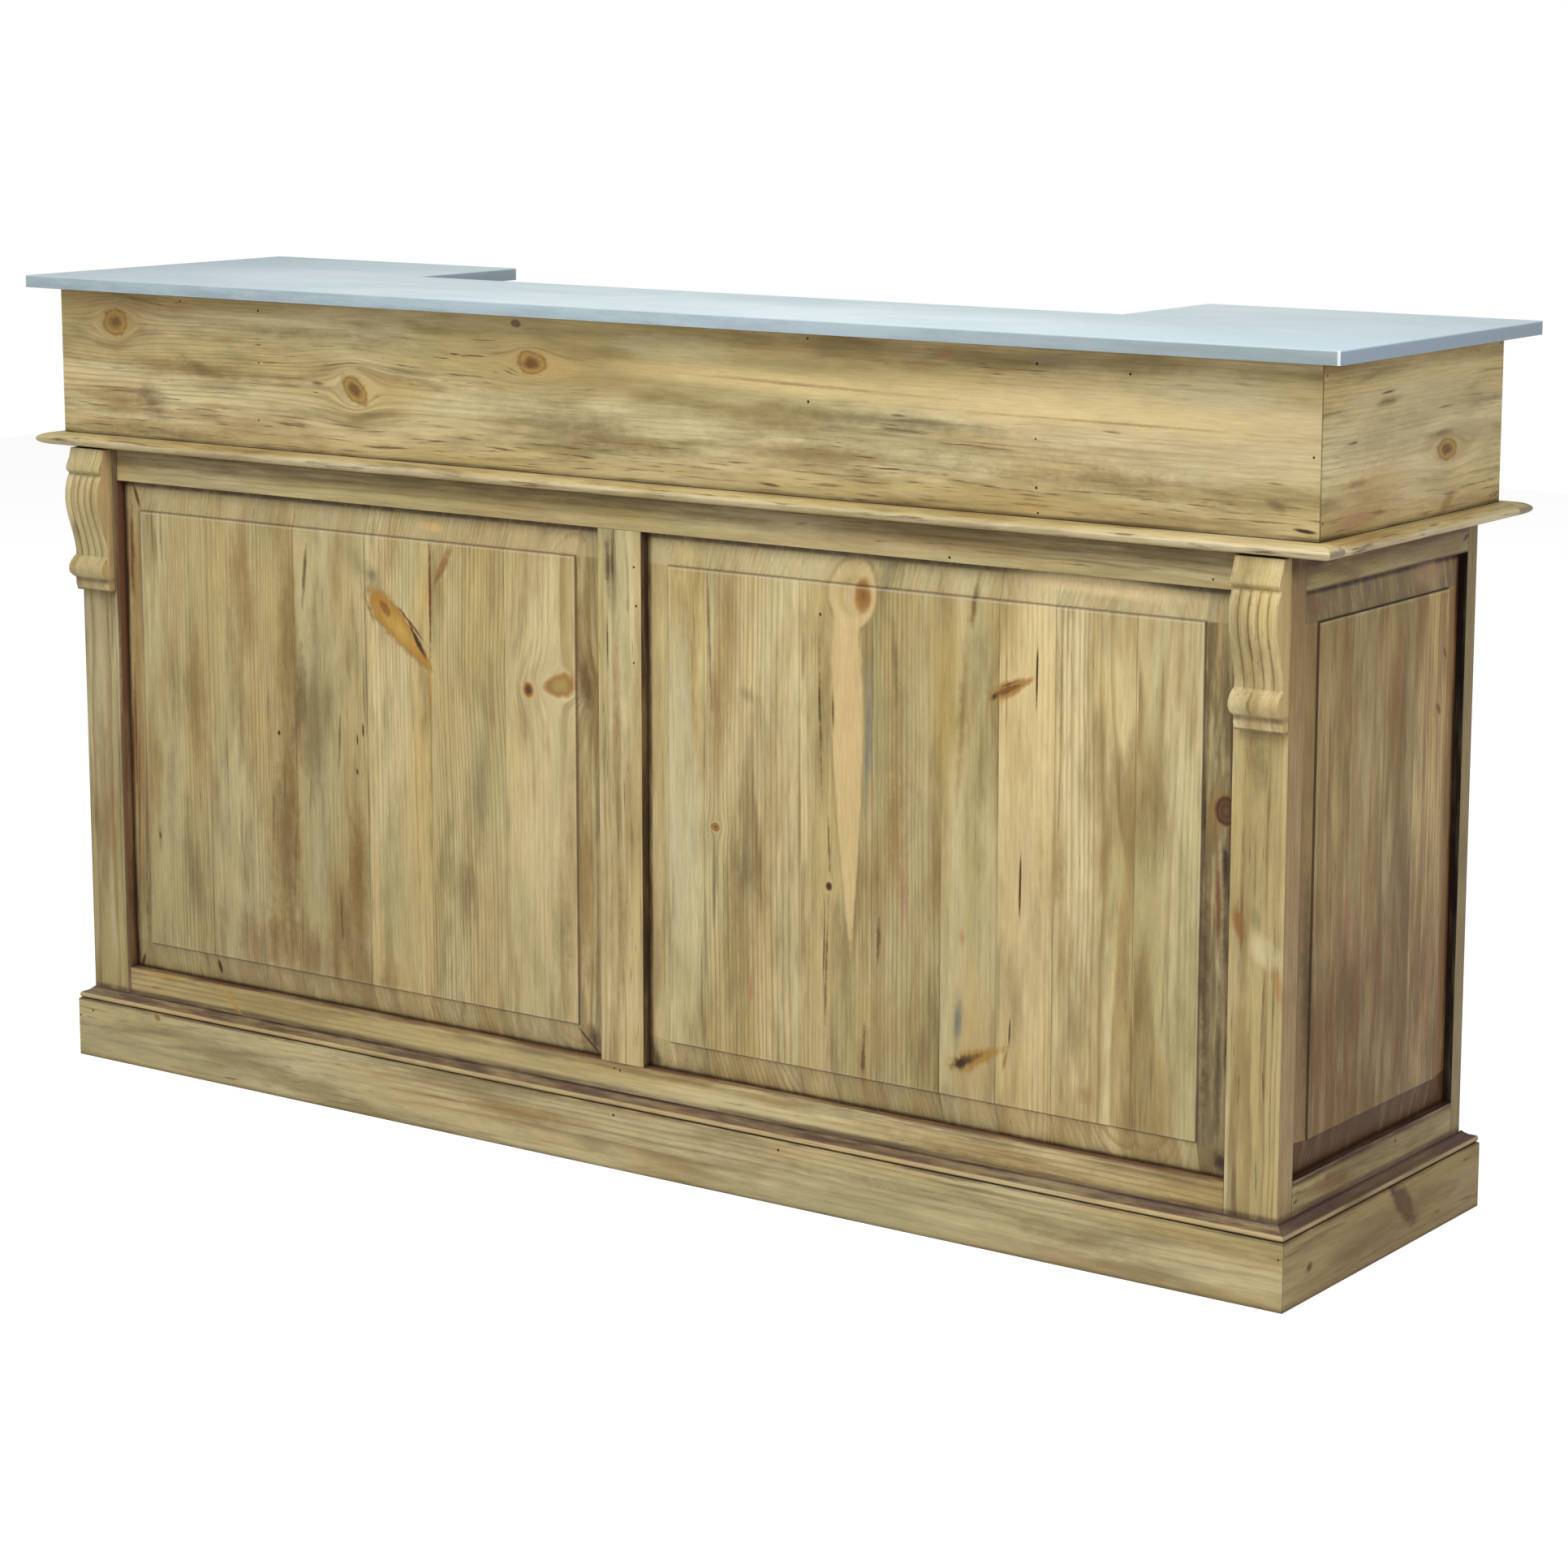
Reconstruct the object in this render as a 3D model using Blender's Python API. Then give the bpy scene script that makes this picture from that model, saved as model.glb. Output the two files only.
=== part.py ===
"""Bar counter in stained pine: a frame-and-panel body on a plinth, a moulded ledge that is the
edge of the service worktop, a boxed fascia above it, and a U-shaped top covered with folded zinc.

Metres, +Z up. The customers stand at -Y, the open shelves face +Y, and +X runs to their right.
Every height is counted from the floor and every depth (y) from the front face of the fascia. One
empty carries the whole counter and puts the origin at the middle of its footprint.
"""

import math

import bmesh
import bpy
from mathutils import Vector

# Overall sizes
HEIGHT = 1.100
BODY_LENGTH = 1.893
BODY_DEPTH = 0.465

# Fits: the gap between pieces that touch, the play that lets a panel swell in its groove,
# and how far a cutter runs past the piece it cuts
GAP = 0.0003
SWELL = 0.001
OVERCUT = 0.004

# Top: core boards wrapped in folded zinc
TOP_THICKNESS = 0.0165
ZINC_THICKNESS = 0.0008
TOP_FRONT_OVERHANG = 0.0304
TOP_SIDE_OVERHANG = 0.0364
TOP_REAR_OVERHANG = 0.0266
TOP_INNER_OVERHANG = 0.029
BAR_TOP_DEPTH = 0.298

# Fascia box that lifts the top above the worktop
FASCIA_HEIGHT = 0.1995
FASCIA_THICKNESS = 0.020
FASCIA_FRONT_SETBACK = 0.004
FASCIA_REAR_SETBACK = 0.0084
FASCIA_SIDE_OVERHANG = 0.0305
DIVIDER_SPACING = 1.180
DIVIDER_THICKNESS = 0.020
NICHE_RAIL_HEIGHT = 0.030
NICHE_RAIL_THICKNESS = 0.020
BAR_RAIL_HEIGHT = 0.060
BAR_RAIL_THICKNESS = 0.020
BAR_RAIL_SETBACK = 0.0156
TOP_CLEAT_SIZE = 0.020

# Ledge strips, rounded over along their outer edges, and the worktop boards inside them
LEDGE_THICKNESS = 0.0178
LEDGE_WIDTH = 0.036
LEDGE_FRONT_REVEAL = 0.029
LEDGE_SIDE_REVEAL = 0.029
LEDGE_REAR_REVEAL = 0.0334
LEDGE_NOSE_DEPTH = 0.024
LEDGE_NOSE_STEPS = 14

# Front frame
POST_WIDTH = 0.0707
FRAME_THICKNESS = 0.034
STILE_WIDTH = 0.068
TOP_RAIL_HEIGHT = 0.0429
RAIL_BOTTOM = 0.050
FRONT_OPENING_BOTTOM = 0.136
GROOVE_DEPTH = 0.010
FRONT_PANEL_RECESS = 0.015
FRONT_TONGUE = 0.007

# Side frames and rear frame
SIDE_RAIL_THICKNESS = 0.024
SIDE_OPENING_BOTTOM = 0.1405
SIDE_PANEL_RECESS = 0.012
SIDE_TONGUE = 0.006
REAR_POST_WIDTH = 0.060
REAR_POST_THICKNESS = 0.025
REAR_RAIL_THICKNESS = 0.022
REAR_TENON_LENGTH = 0.020
REAR_TENON_THICKNESS = 0.008
REAR_TENON_SHOULDER = 0.006

# Raised and fielded panels: a bevelled border round a flat field, with a small upright step
PANEL_BORDER = 0.040
FIELD_RECESS = 0.003
FIELD_STEP = 0.0022
FIELD_STEP_RUN = 0.0006

# Floor, partition and shelves
INNER_BOARD_THICKNESS = 0.018
FLOOR_HEIGHT = 0.118
SHELF_HEIGHT = 0.496
CLEAT_HEIGHT = 0.022
CLEAT_THICKNESS = 0.020

# Plinth boards and the moulding planted on them
PLINTH_HEIGHT = 0.0824
PLINTH_FRONT_PROJECTION = 0.0167
PLINTH_SIDE_PROJECTION = 0.0175
PLINTH_REAR_PROJECTION = 0.0225
PLINTH_EASING = 0.0016
CAP_HEIGHT = 0.0162
CAP_SETBACK = 0.0012
CAP_BEAD_HEIGHT = 0.0086
CAP_BEAD_DEPTH = 0.0034
CAP_COVE_SAG = 0.0014
CAP_STEPS = 5

# Corbels: (drop below the ledge, projection from the post) down the middle of the front face
CORBEL_WIDTH = 0.063
CORBEL_SIDE_MARGIN = 0.0004
CORBEL_PROFILE = (
    (0.0000, 0.0165),
    (0.0120, 0.0200),
    (0.0250, 0.0262),
    (0.0300, 0.0264),
    (0.0325, 0.0236),
    (0.0350, 0.0212),
    (0.0380, 0.0246),
    (0.0440, 0.0286),
    (0.0560, 0.0320),
    (0.0700, 0.0330),
    (0.0840, 0.0312),
    (0.0980, 0.0272),
    (0.1120, 0.0226),
    (0.1260, 0.0184),
    (0.1400, 0.0152),
    (0.1490, 0.0142),
    (0.1520, 0.0172),
    (0.1570, 0.0226),
    (0.1630, 0.0262),
    (0.1690, 0.0266),
    (0.1740, 0.0244),
    (0.1780, 0.0192),
    (0.1805, 0.0142),
    (0.1830, 0.0134),
    (0.1900, 0.0134),
    (0.1980, 0.0106),
)
REED_COUNT = 5
REED_DEPTH = 0.0032
REED_TOP = 0.0360
REED_BOTTOM = 0.1510
REED_FADE = 0.0030
REED_STEPS = 6

# Levels worked out from the sizes above
SLAB_BOTTOM = HEIGHT - TOP_THICKNESS
LEDGE_TOP = SLAB_BOTTOM - FASCIA_HEIGHT
LEDGE_BOTTOM = LEDGE_TOP - LEDGE_THICKNESS
OPENING_TOP = LEDGE_BOTTOM - TOP_RAIL_HEIGHT
BOX_BOTTOM = LEDGE_TOP + GAP
BOX_TOP = SLAB_BOTTOM - GAP
FRAME_TOP = LEDGE_BOTTOM - GAP

# Faces worked out from the sizes above
BODY_SIDE = BODY_LENGTH / 2
BODY_FRONT = -FASCIA_FRONT_SETBACK
BODY_REAR = BODY_FRONT + BODY_DEPTH
FRAME_BACK = BODY_FRONT + FRAME_THICKNESS
REAR_POST_FRONT = BODY_REAR - REAR_POST_THICKNESS
FASCIA_SIDE = BODY_SIDE + FASCIA_SIDE_OVERHANG
FASCIA_REAR = BODY_REAR - FASCIA_REAR_SETBACK
FASCIA_BACK = FASCIA_THICKNESS + GAP
LEDGE_SIDE = FASCIA_SIDE + LEDGE_SIDE_REVEAL
LEDGE_FRONT = -LEDGE_FRONT_REVEAL
LEDGE_REAR = FASCIA_REAR + LEDGE_REAR_REVEAL
TOP_SIDE = FASCIA_SIDE + TOP_SIDE_OVERHANG
TOP_FRONT = -TOP_FRONT_OVERHANG
TOP_REAR = FASCIA_REAR + TOP_REAR_OVERHANG
NOTCH_SIDE = DIVIDER_SPACING / 2 - TOP_INNER_OVERHANG
NOTCH_FRONT = TOP_FRONT + BAR_TOP_DEPTH
PLINTH_SIDE = BODY_SIDE + PLINTH_SIDE_PROJECTION
PLINTH_FRONT = BODY_FRONT - PLINTH_FRONT_PROJECTION
PLINTH_REAR = BODY_REAR + PLINTH_REAR_PROJECTION
INNER_SIDE = BODY_SIDE - SIDE_RAIL_THICKNESS - GAP
CORBEL_REACH = max(projection for _, projection in CORBEL_PROFILE)
FRONT_REACH = min(TOP_FRONT, LEDGE_FRONT, PLINTH_FRONT, BODY_FRONT - GAP - CORBEL_REACH)
REAR_REACH = max(TOP_REAR, LEDGE_REAR, PLINTH_REAR)
MIDDLE = (FRONT_REACH + REAR_REACH) / 2
HANDS = (("left", -1), ("right", 1))


def clear_scene():
    for existing in list(bpy.data.objects):
        bpy.data.objects.remove(existing, do_unlink=True)


def finish_material(name, colour, roughness, metallic=0.0):
    made = bpy.data.materials.new(name)
    made.use_nodes = True
    shader = made.node_tree.nodes["Principled BSDF"]
    shader.inputs["Base Color"].default_value = (*colour, 1.0)
    shader.inputs["Roughness"].default_value = roughness
    shader.inputs["Metallic"].default_value = metallic
    return made


def place(name, bm, material, location=(0, 0, 0), turn=0.0):
    """Makes the object called name from a bmesh, carried by the counter's empty."""
    bmesh.ops.recalc_face_normals(bm, faces=bm.faces)
    mesh = bpy.data.meshes.new(name)
    bm.to_mesh(mesh)
    bm.free()
    mesh.materials.append(material)
    piece = bpy.data.objects.new(name, mesh)
    bpy.context.scene.collection.objects.link(piece)
    piece.parent = counter
    piece.location = location
    piece.rotation_euler.z = turn
    return piece


def block(name, x, y, z, material):
    """A squared board over three (low, high) spans, with its origin at its centre."""
    low = Vector((x[0], y[0], z[0]))
    high = Vector((x[1], y[1], z[1]))
    bm = bmesh.new()
    bmesh.ops.create_cube(bm, size=1.0)
    bmesh.ops.scale(bm, vec=high - low, verts=bm.verts)
    piece = place(name, bm, material, (low + high) / 2)
    piece["low"] = low
    piece["high"] = high
    return piece


def cut(piece, x=(None, None), y=(None, None), z=(None, None)):
    """Cuts a squared groove, notch or mortise out of a board; None runs past that side of it."""
    spans = []
    for span, low, high in zip((x, y, z), piece["low"], piece["high"]):
        start = low - OVERCUT if span[0] is None else span[0]
        stop = high + OVERCUT if span[1] is None else span[1]
        spans.append((start, stop))
    name = f"{piece.name}_cut_{len(piece.modifiers) + 1}"
    cutter = block(name, *spans, piece.data.materials[0])
    cutter.hide_render = True
    cutter.display_type = "WIRE"
    boolean = piece.modifiers.new(name, "BOOLEAN")
    boolean.operation = "DIFFERENCE"
    boolean.object = cutter


def sided(sign, low, high):
    """The x span from low to high on the right (sign 1) or mirrored on the left (sign -1)."""
    if sign > 0:
        return low, high
    return (None if high is None else -high), (None if low is None else -low)


def mitred_strip(name, side, outer, profile, material, square_rear=False):
    """A strip along one side of a rectangle, with its ends mitred at 45 degrees.

    outer is the rectangle's (half length, front, rear), and profile a closed outline of
    (distance inwards from the rectangle, height) points.
    """
    half, front, rear = outer
    relief = GAP / math.sqrt(2)
    starts, ends = [], []
    for inwards, z in profile:
        reach = half - inwards
        near, far = front + inwards, rear - inwards
        if side == "front":
            starts.append((relief - reach, near, z))
            ends.append((reach - relief, near, z))
        elif side == "rear":
            starts.append((relief - reach, far, z))
            ends.append((reach - relief, far, z))
        else:
            x = -reach if side == "left" else reach
            starts.append((x, near + relief, z))
            ends.append((x, rear if square_rear else far - relief, z))
    bm = bmesh.new()
    first = [bm.verts.new(p) for p in starts]
    last = [bm.verts.new(p) for p in ends]
    bm.faces.new(first)
    bm.faces.new(list(reversed(last)))
    for i in range(len(profile)):
        j = (i + 1) % len(profile)
        bm.faces.new((first[i], last[i], last[j], first[j]))
    return place(name, bm, material)


def arc(centre, radii, start, stop, steps):
    """Points on an ellipse between two angles in degrees, both ends included."""
    points = []
    for i in range(steps + 1):
        angle = math.radians(start + (stop - start) * i / steps)
        across = centre[0] + radii[0] * math.cos(angle)
        up = centre[1] + radii[1] * math.sin(angle)
        points.append((across, up))
    return points


def make_top(zinc, core):
    """The U-shaped top: three core boards under one folded sheet of zinc."""
    outline = (
        (-TOP_SIDE, TOP_FRONT),
        (TOP_SIDE, TOP_FRONT),
        (TOP_SIDE, TOP_REAR),
        (NOTCH_SIDE, TOP_REAR),
        (NOTCH_SIDE, NOTCH_FRONT),
        (-NOTCH_SIDE, NOTCH_FRONT),
        (-NOTCH_SIDE, TOP_REAR),
        (-TOP_SIDE, TOP_REAR),
    )
    bm = bmesh.new()
    sheet = bm.faces.new([bm.verts.new((x, y, HEIGHT)) for x, y in outline])
    border = list(sheet.edges)
    fold = bmesh.ops.extrude_edge_only(bm, edges=border)["geom"]
    folded = [v for v in fold if isinstance(v, bmesh.types.BMVert)]
    bmesh.ops.translate(bm, vec=(0, 0, -TOP_THICKNESS), verts=folded)
    tray = place("zinc_top", bm, zinc)
    wall = tray.modifiers.new("sheet", "SOLIDIFY")
    wall.thickness = ZINC_THICKNESS
    wall.offset = -1.0
    wall.use_even_offset = True

    inside = ZINC_THICKNESS + GAP
    z = (SLAB_BOTTOM, HEIGHT - inside)
    seam = NOTCH_FRONT - inside
    block(
        "top_core_front",
        (inside - TOP_SIDE, TOP_SIDE - inside),
        (TOP_FRONT + inside, seam),
        z,
        core,
    )
    for hand, sign in HANDS:
        x = sided(sign, NOTCH_SIDE + inside, TOP_SIDE - inside)
        block(f"top_core_{hand}", x, (seam + GAP, TOP_REAR - inside), z, core)


def make_fascia_box(pine, inner):
    """The fascia on three sides, and what holds the top up behind it."""
    outer = (FASCIA_SIDE, 0.0, FASCIA_REAR)
    section = (
        (0.0, BOX_BOTTOM),
        (0.0, BOX_TOP),
        (FASCIA_THICKNESS, BOX_TOP),
        (FASCIA_THICKNESS, BOX_BOTTOM),
    )
    mitred_strip("fascia_front", "front", outer, section, pine)
    middle = DIVIDER_SPACING / 2
    across = FASCIA_SIDE - FASCIA_THICKNESS - GAP
    for hand, sign in HANDS:
        mitred_strip(f"fascia_{hand}", hand, outer, section, pine, square_rear=True)
        divider = sided(sign, middle, middle + DIVIDER_THICKNESS)
        z = (BOX_BOTTOM, BOX_TOP)
        block(f"wing_divider_{hand}", divider, (FASCIA_BACK, FASCIA_REAR), z, inner)
        niche = sided(sign, middle + DIVIDER_THICKNESS + GAP, across)
        y = (FASCIA_REAR - NICHE_RAIL_THICKNESS, FASCIA_REAR)
        head = (BOX_TOP - NICHE_RAIL_HEIGHT, BOX_TOP)
        sill = (BOX_BOTTOM, BOX_BOTTOM + NICHE_RAIL_HEIGHT)
        block(f"niche_head_rail_{hand}", niche, y, head, inner)
        block(f"niche_sill_rail_{hand}", niche, y, sill, inner)

    between = (GAP - middle, middle - GAP)
    back = NOTCH_FRONT - BAR_RAIL_SETBACK
    y = (back - BAR_RAIL_THICKNESS, back)
    block("bar_top_rear_rail", between, y, (BOX_TOP - BAR_RAIL_HEIGHT, BOX_TOP), inner)
    y = (FASCIA_BACK, FASCIA_BACK + TOP_CLEAT_SIZE)
    block("bar_top_cleat", between, y, (BOX_TOP - TOP_CLEAT_SIZE, BOX_TOP), inner)


def returned_strip(name, side, outer, profile, material):
    """A strip along the front or rear of a rectangle that shows its shaped ends at both corners.

    profile is an open outline of (distance inwards, height) points that starts and stops at the
    strip's inner edge, where the strips beside it butt against it.
    """
    half, front, rear = outer
    width = profile[0][0]
    bm = bmesh.new()
    rows = []
    for inwards, z in profile:
        corner_y = front + inwards if side == "front" else rear - inwards
        butt_y = front + width if side == "front" else rear - width
        reach = half - inwards
        row = [(-reach, butt_y, z), (-reach, corner_y, z), (reach, corner_y, z), (reach, butt_y, z)]
        rows.append([bm.verts.new(point) for point in row])
    for upper, lower in zip(rows, rows[1:] + rows[:1]):
        for i in range(3):
            bm.faces.new((upper[i], upper[i + 1], lower[i + 1], lower[i]))
    bm.faces.new([row[0] for row in rows])
    bm.faces.new([row[3] for row in rows])
    bmesh.ops.remove_doubles(bm, verts=bm.verts, dist=GAP / 10)
    return place(name, bm, material)


def make_worktop(moulded, inner):
    """The rounded ledge round the worktop, front and rear strips running through, and two boards."""
    outer = (LEDGE_SIDE, LEDGE_FRONT, LEDGE_REAR)
    centre = (LEDGE_NOSE_DEPTH, LEDGE_BOTTOM + LEDGE_THICKNESS / 2)
    radii = (LEDGE_NOSE_DEPTH, LEDGE_THICKNESS / 2)
    nose = arc(centre, radii, 90, 270, LEDGE_NOSE_STEPS)
    section = [(LEDGE_WIDTH, LEDGE_TOP), *nose, (LEDGE_WIDTH, LEDGE_BOTTOM)]
    inset = LEDGE_WIDTH + GAP
    front, rear = LEDGE_FRONT + inset, LEDGE_REAR - inset
    returned_strip("ledge_front", "front", outer, section, moulded)
    returned_strip("ledge_rear", "rear", outer, section, moulded)
    for hand, sign in HANDS:
        bm = bmesh.new()
        start = [bm.verts.new((sign * (LEDGE_SIDE - inwards), front, z)) for inwards, z in section]
        bm.faces.new(start)
        swept = bmesh.ops.extrude_face_region(bm, geom=bm.faces[:])["geom"]
        moved = [item for item in swept if isinstance(item, bmesh.types.BMVert)]
        bmesh.ops.translate(bm, vec=(0, rear - front, 0), verts=moved)
        place(f"ledge_{hand}", bm, moulded)

    x = (inset - LEDGE_SIDE, LEDGE_SIDE - inset)
    seam = (front + rear) / 2
    z = (LEDGE_BOTTOM, LEDGE_TOP)
    block("worktop_front_board", x, (front, seam - GAP / 2), z, inner)
    block("worktop_rear_board", x, (seam + GAP / 2, rear), z, inner)


def raised_panel(name, width, height, recess, tongue, material, location, turn):
    """A raised and fielded panel seen from -Y, with its origin at the foot of the frame's face."""
    reach = GROOVE_DEPTH - SWELL
    step = reach + PANEL_BORDER
    rings = (
        (0.0, recess + tongue),
        (0.0, recess),
        (reach, recess),
        (step - FIELD_STEP_RUN, FIELD_RECESS + FIELD_STEP),
        (step, FIELD_RECESS),
    )
    bm = bmesh.new()
    loops = []
    for inset, depth in rings:
        x = width / 2 + reach - inset
        low, high = inset - reach, height + reach - inset
        corners = ((-x, depth, low), (x, depth, low), (x, depth, high), (-x, depth, high))
        loops.append([bm.verts.new(p) for p in corners])
    bm.faces.new(loops[0])
    bm.faces.new(loops[-1])
    for outer, inner in zip(loops, loops[1:]):
        for i in range(4):
            j = (i + 1) % 4
            bm.faces.new((outer[i], outer[j], inner[j], inner[i]))
    return place(name, bm, material, location, turn)


def make_front_frame(pine, panelled):
    """Two posts, two rails and a centre stile, grooved to hold the two front panels."""
    tongue = (BODY_FRONT + FRONT_PANEL_RECESS, BODY_FRONT + FRONT_PANEL_RECESS + FRONT_TONGUE)
    groove = (tongue[0] - GAP, tongue[1] + GAP)
    y = (BODY_FRONT, FRAME_BACK)
    edge = BODY_SIDE - POST_WIDTH
    tenon = GROOVE_DEPTH - GAP
    side_groove = (
        BODY_SIDE - SIDE_PANEL_RECESS - SIDE_TONGUE - GAP,
        BODY_SIDE - SIDE_PANEL_RECESS + GAP,
    )
    for hand, sign in HANDS:
        span = sided(sign, edge, BODY_SIDE)
        post = block(f"front_post_{hand}", span, y, (0.0, FRAME_TOP), pine)
        cut(post, x=sided(sign, None, edge + GROOVE_DEPTH), y=groove)
        cut(post, x=sided(sign, *side_groove), y=(FRAME_BACK - GROOVE_DEPTH, None))

    shoulder = edge - GAP
    x = (-edge - tenon, edge + tenon)
    rails = (
        ("front_top_rail", (OPENING_TOP, FRAME_TOP), (None, OPENING_TOP + GROOVE_DEPTH)),
        (
            "front_bottom_rail",
            (RAIL_BOTTOM, FRONT_OPENING_BOTTOM),
            (FRONT_OPENING_BOTTOM - GROOVE_DEPTH, None),
        ),
    )
    for name, z, groove_z in rails:
        rail = block(name, x, y, z, pine)
        cut(rail, y=groove, z=groove_z)
        for sign in (-1, 1):
            past = sided(sign, shoulder, None)
            cut(rail, x=past, y=(None, tongue[0]))
            cut(rail, x=past, y=(tongue[1], None))

    half = STILE_WIDTH / 2
    z = (FRONT_OPENING_BOTTOM - tenon, OPENING_TOP + tenon)
    stile = block("centre_stile", (-half, half), y, z, pine)
    cut(stile, x=(None, GROOVE_DEPTH - half), y=groove)
    cut(stile, x=(half - GROOVE_DEPTH, None), y=groove)
    for past in ((None, FRONT_OPENING_BOTTOM + GAP), (OPENING_TOP - GAP, None)):
        cut(stile, y=(None, tongue[0]), z=past)
        cut(stile, y=(tongue[1], None), z=past)

    width = edge - half
    height = OPENING_TOP - FRONT_OPENING_BOTTOM
    for hand, sign in HANDS:
        foot = (sign * (edge + half) / 2, BODY_FRONT, FRONT_OPENING_BOTTOM)
        raised_panel(
            f"front_panel_{hand}",
            width,
            height,
            FRONT_PANEL_RECESS,
            FRONT_TONGUE,
            panelled,
            foot,
            0.0,
        )


def make_rear_frame(pine):
    """Rear posts, grooved for the side panels, and two rails tenoned between them."""
    edge = BODY_SIDE - REAR_POST_WIDTH
    side_groove = (
        BODY_SIDE - SIDE_PANEL_RECESS - SIDE_TONGUE - GAP,
        BODY_SIDE - SIDE_PANEL_RECESS + GAP,
    )
    rail_y = (BODY_REAR - REAR_RAIL_THICKNESS, BODY_REAR)
    middle = (rail_y[0] + rail_y[1]) / 2
    tenon_y = (middle - REAR_TENON_THICKNESS / 2, middle + REAR_TENON_THICKNESS / 2)
    rails = (
        ("rear_top_rail", (OPENING_TOP, FRAME_TOP)),
        ("rear_bottom_rail", (RAIL_BOTTOM, FLOOR_HEIGHT - INNER_BOARD_THICKNESS - GAP)),
    )
    for hand, sign in HANDS:
        x = sided(sign, edge, BODY_SIDE)
        post = block(f"rear_post_{hand}", x, (REAR_POST_FRONT, BODY_REAR), (0.0, FRAME_TOP), pine)
        cut(post, x=sided(sign, *side_groove), y=(None, REAR_POST_FRONT + GROOVE_DEPTH))
        for _, z in rails:
            cut(
                post,
                x=sided(sign, None, edge + REAR_TENON_LENGTH + GAP),
                y=(tenon_y[0] - GAP, tenon_y[1] + GAP),
                z=(z[0] + REAR_TENON_SHOULDER - GAP, z[1] - REAR_TENON_SHOULDER + GAP),
            )

    reach = edge + REAR_TENON_LENGTH
    for name, z in rails:
        rail = block(name, (-reach, reach), rail_y, z, pine)
        for sign in (-1, 1):
            past = sided(sign, edge - GAP, None)
            cut(rail, x=past, y=(None, tenon_y[0]))
            cut(rail, x=past, y=(tenon_y[1], None))
            cut(rail, x=past, z=(None, z[0] + REAR_TENON_SHOULDER))
            cut(rail, x=past, z=(z[1] - REAR_TENON_SHOULDER, None))


def make_side_frames(pine, panelled):
    """Top and bottom rails between the posts at each end, grooved round a side panel."""
    tenon = GROOVE_DEPTH - GAP
    low, high = FRAME_BACK, REAR_POST_FRONT
    tongue = (BODY_SIDE - SIDE_PANEL_RECESS - SIDE_TONGUE, BODY_SIDE - SIDE_PANEL_RECESS)
    rails = (
        ("side_top_rail", (OPENING_TOP, FRAME_TOP), (None, OPENING_TOP + GROOVE_DEPTH)),
        (
            "side_bottom_rail",
            (RAIL_BOTTOM, SIDE_OPENING_BOTTOM),
            (SIDE_OPENING_BOTTOM - GROOVE_DEPTH, None),
        ),
    )
    for hand, sign in HANDS:
        x = sided(sign, BODY_SIDE - SIDE_RAIL_THICKNESS, BODY_SIDE)
        for name, z, groove_z in rails:
            rail = block(f"{name}_{hand}", x, (low - tenon, high + tenon), z, pine)
            cut(rail, x=sided(sign, tongue[0] - GAP, tongue[1] + GAP), z=groove_z)
            for past in ((None, low + GAP), (high - GAP, None)):
                cut(rail, x=sided(sign, None, tongue[0]), y=past)
                cut(rail, x=sided(sign, tongue[1], None), y=past)
        foot = (sign * BODY_SIDE, (low + high) / 2, SIDE_OPENING_BOTTOM)
        raised_panel(
            f"side_panel_{hand}",
            high - low,
            OPENING_TOP - SIDE_OPENING_BOTTOM,
            SIDE_PANEL_RECESS,
            SIDE_TONGUE,
            panelled,
            foot,
            sign * math.pi / 2,
        )


def make_inside(inner):
    """Floor boards on their bearer, the partition behind the centre stile, and the shelves."""
    front = FRAME_BACK + GAP
    floor_z = (FLOOR_HEIGHT - INNER_BOARD_THICKNESS, FLOOR_HEIGHT)
    half = INNER_BOARD_THICKNESS / 2
    post_edge = BODY_SIDE - REAR_POST_WIDTH - GAP
    post_face = REAR_POST_FRONT - GAP

    bearer_top = floor_z[0] - GAP
    block(
        "floor_bearer",
        (-INNER_SIDE, INNER_SIDE),
        (front, front + CLEAT_THICKNESS),
        (bearer_top - CLEAT_HEIGHT, bearer_top),
        inner,
    )
    y = (front, BODY_REAR)
    partition = block("partition", (-half, half), y, (FLOOR_HEIGHT + GAP, FRAME_TOP), inner)
    rail_face = BODY_REAR - REAR_RAIL_THICKNESS - GAP
    cut(partition, y=(rail_face, None), z=(OPENING_TOP - GAP, None))

    shelf_z = (SHELF_HEIGHT - INNER_BOARD_THICKNESS, SHELF_HEIGHT)
    cleat_z = (shelf_z[0] - GAP - CLEAT_HEIGHT, shelf_z[0] - GAP)
    for hand, sign in HANDS:
        board = block(f"floor_board_{hand}", sided(sign, GAP / 2, INNER_SIDE), y, floor_z, inner)
        cut(board, x=sided(sign, post_edge, None), y=(post_face, None))
        beside = half + GAP
        x = sided(sign, beside, INNER_SIDE)
        block(f"shelf_{hand}", x, (front, post_face), shelf_z, inner)
        x = sided(sign, beside, beside + CLEAT_THICKNESS)
        block(f"shelf_cleat_inner_{hand}", x, (front, post_face), cleat_z, inner)
        x = sided(sign, INNER_SIDE - CLEAT_THICKNESS, INNER_SIDE)
        block(f"shelf_cleat_outer_{hand}", x, (front, post_face), cleat_z, inner)


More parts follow.
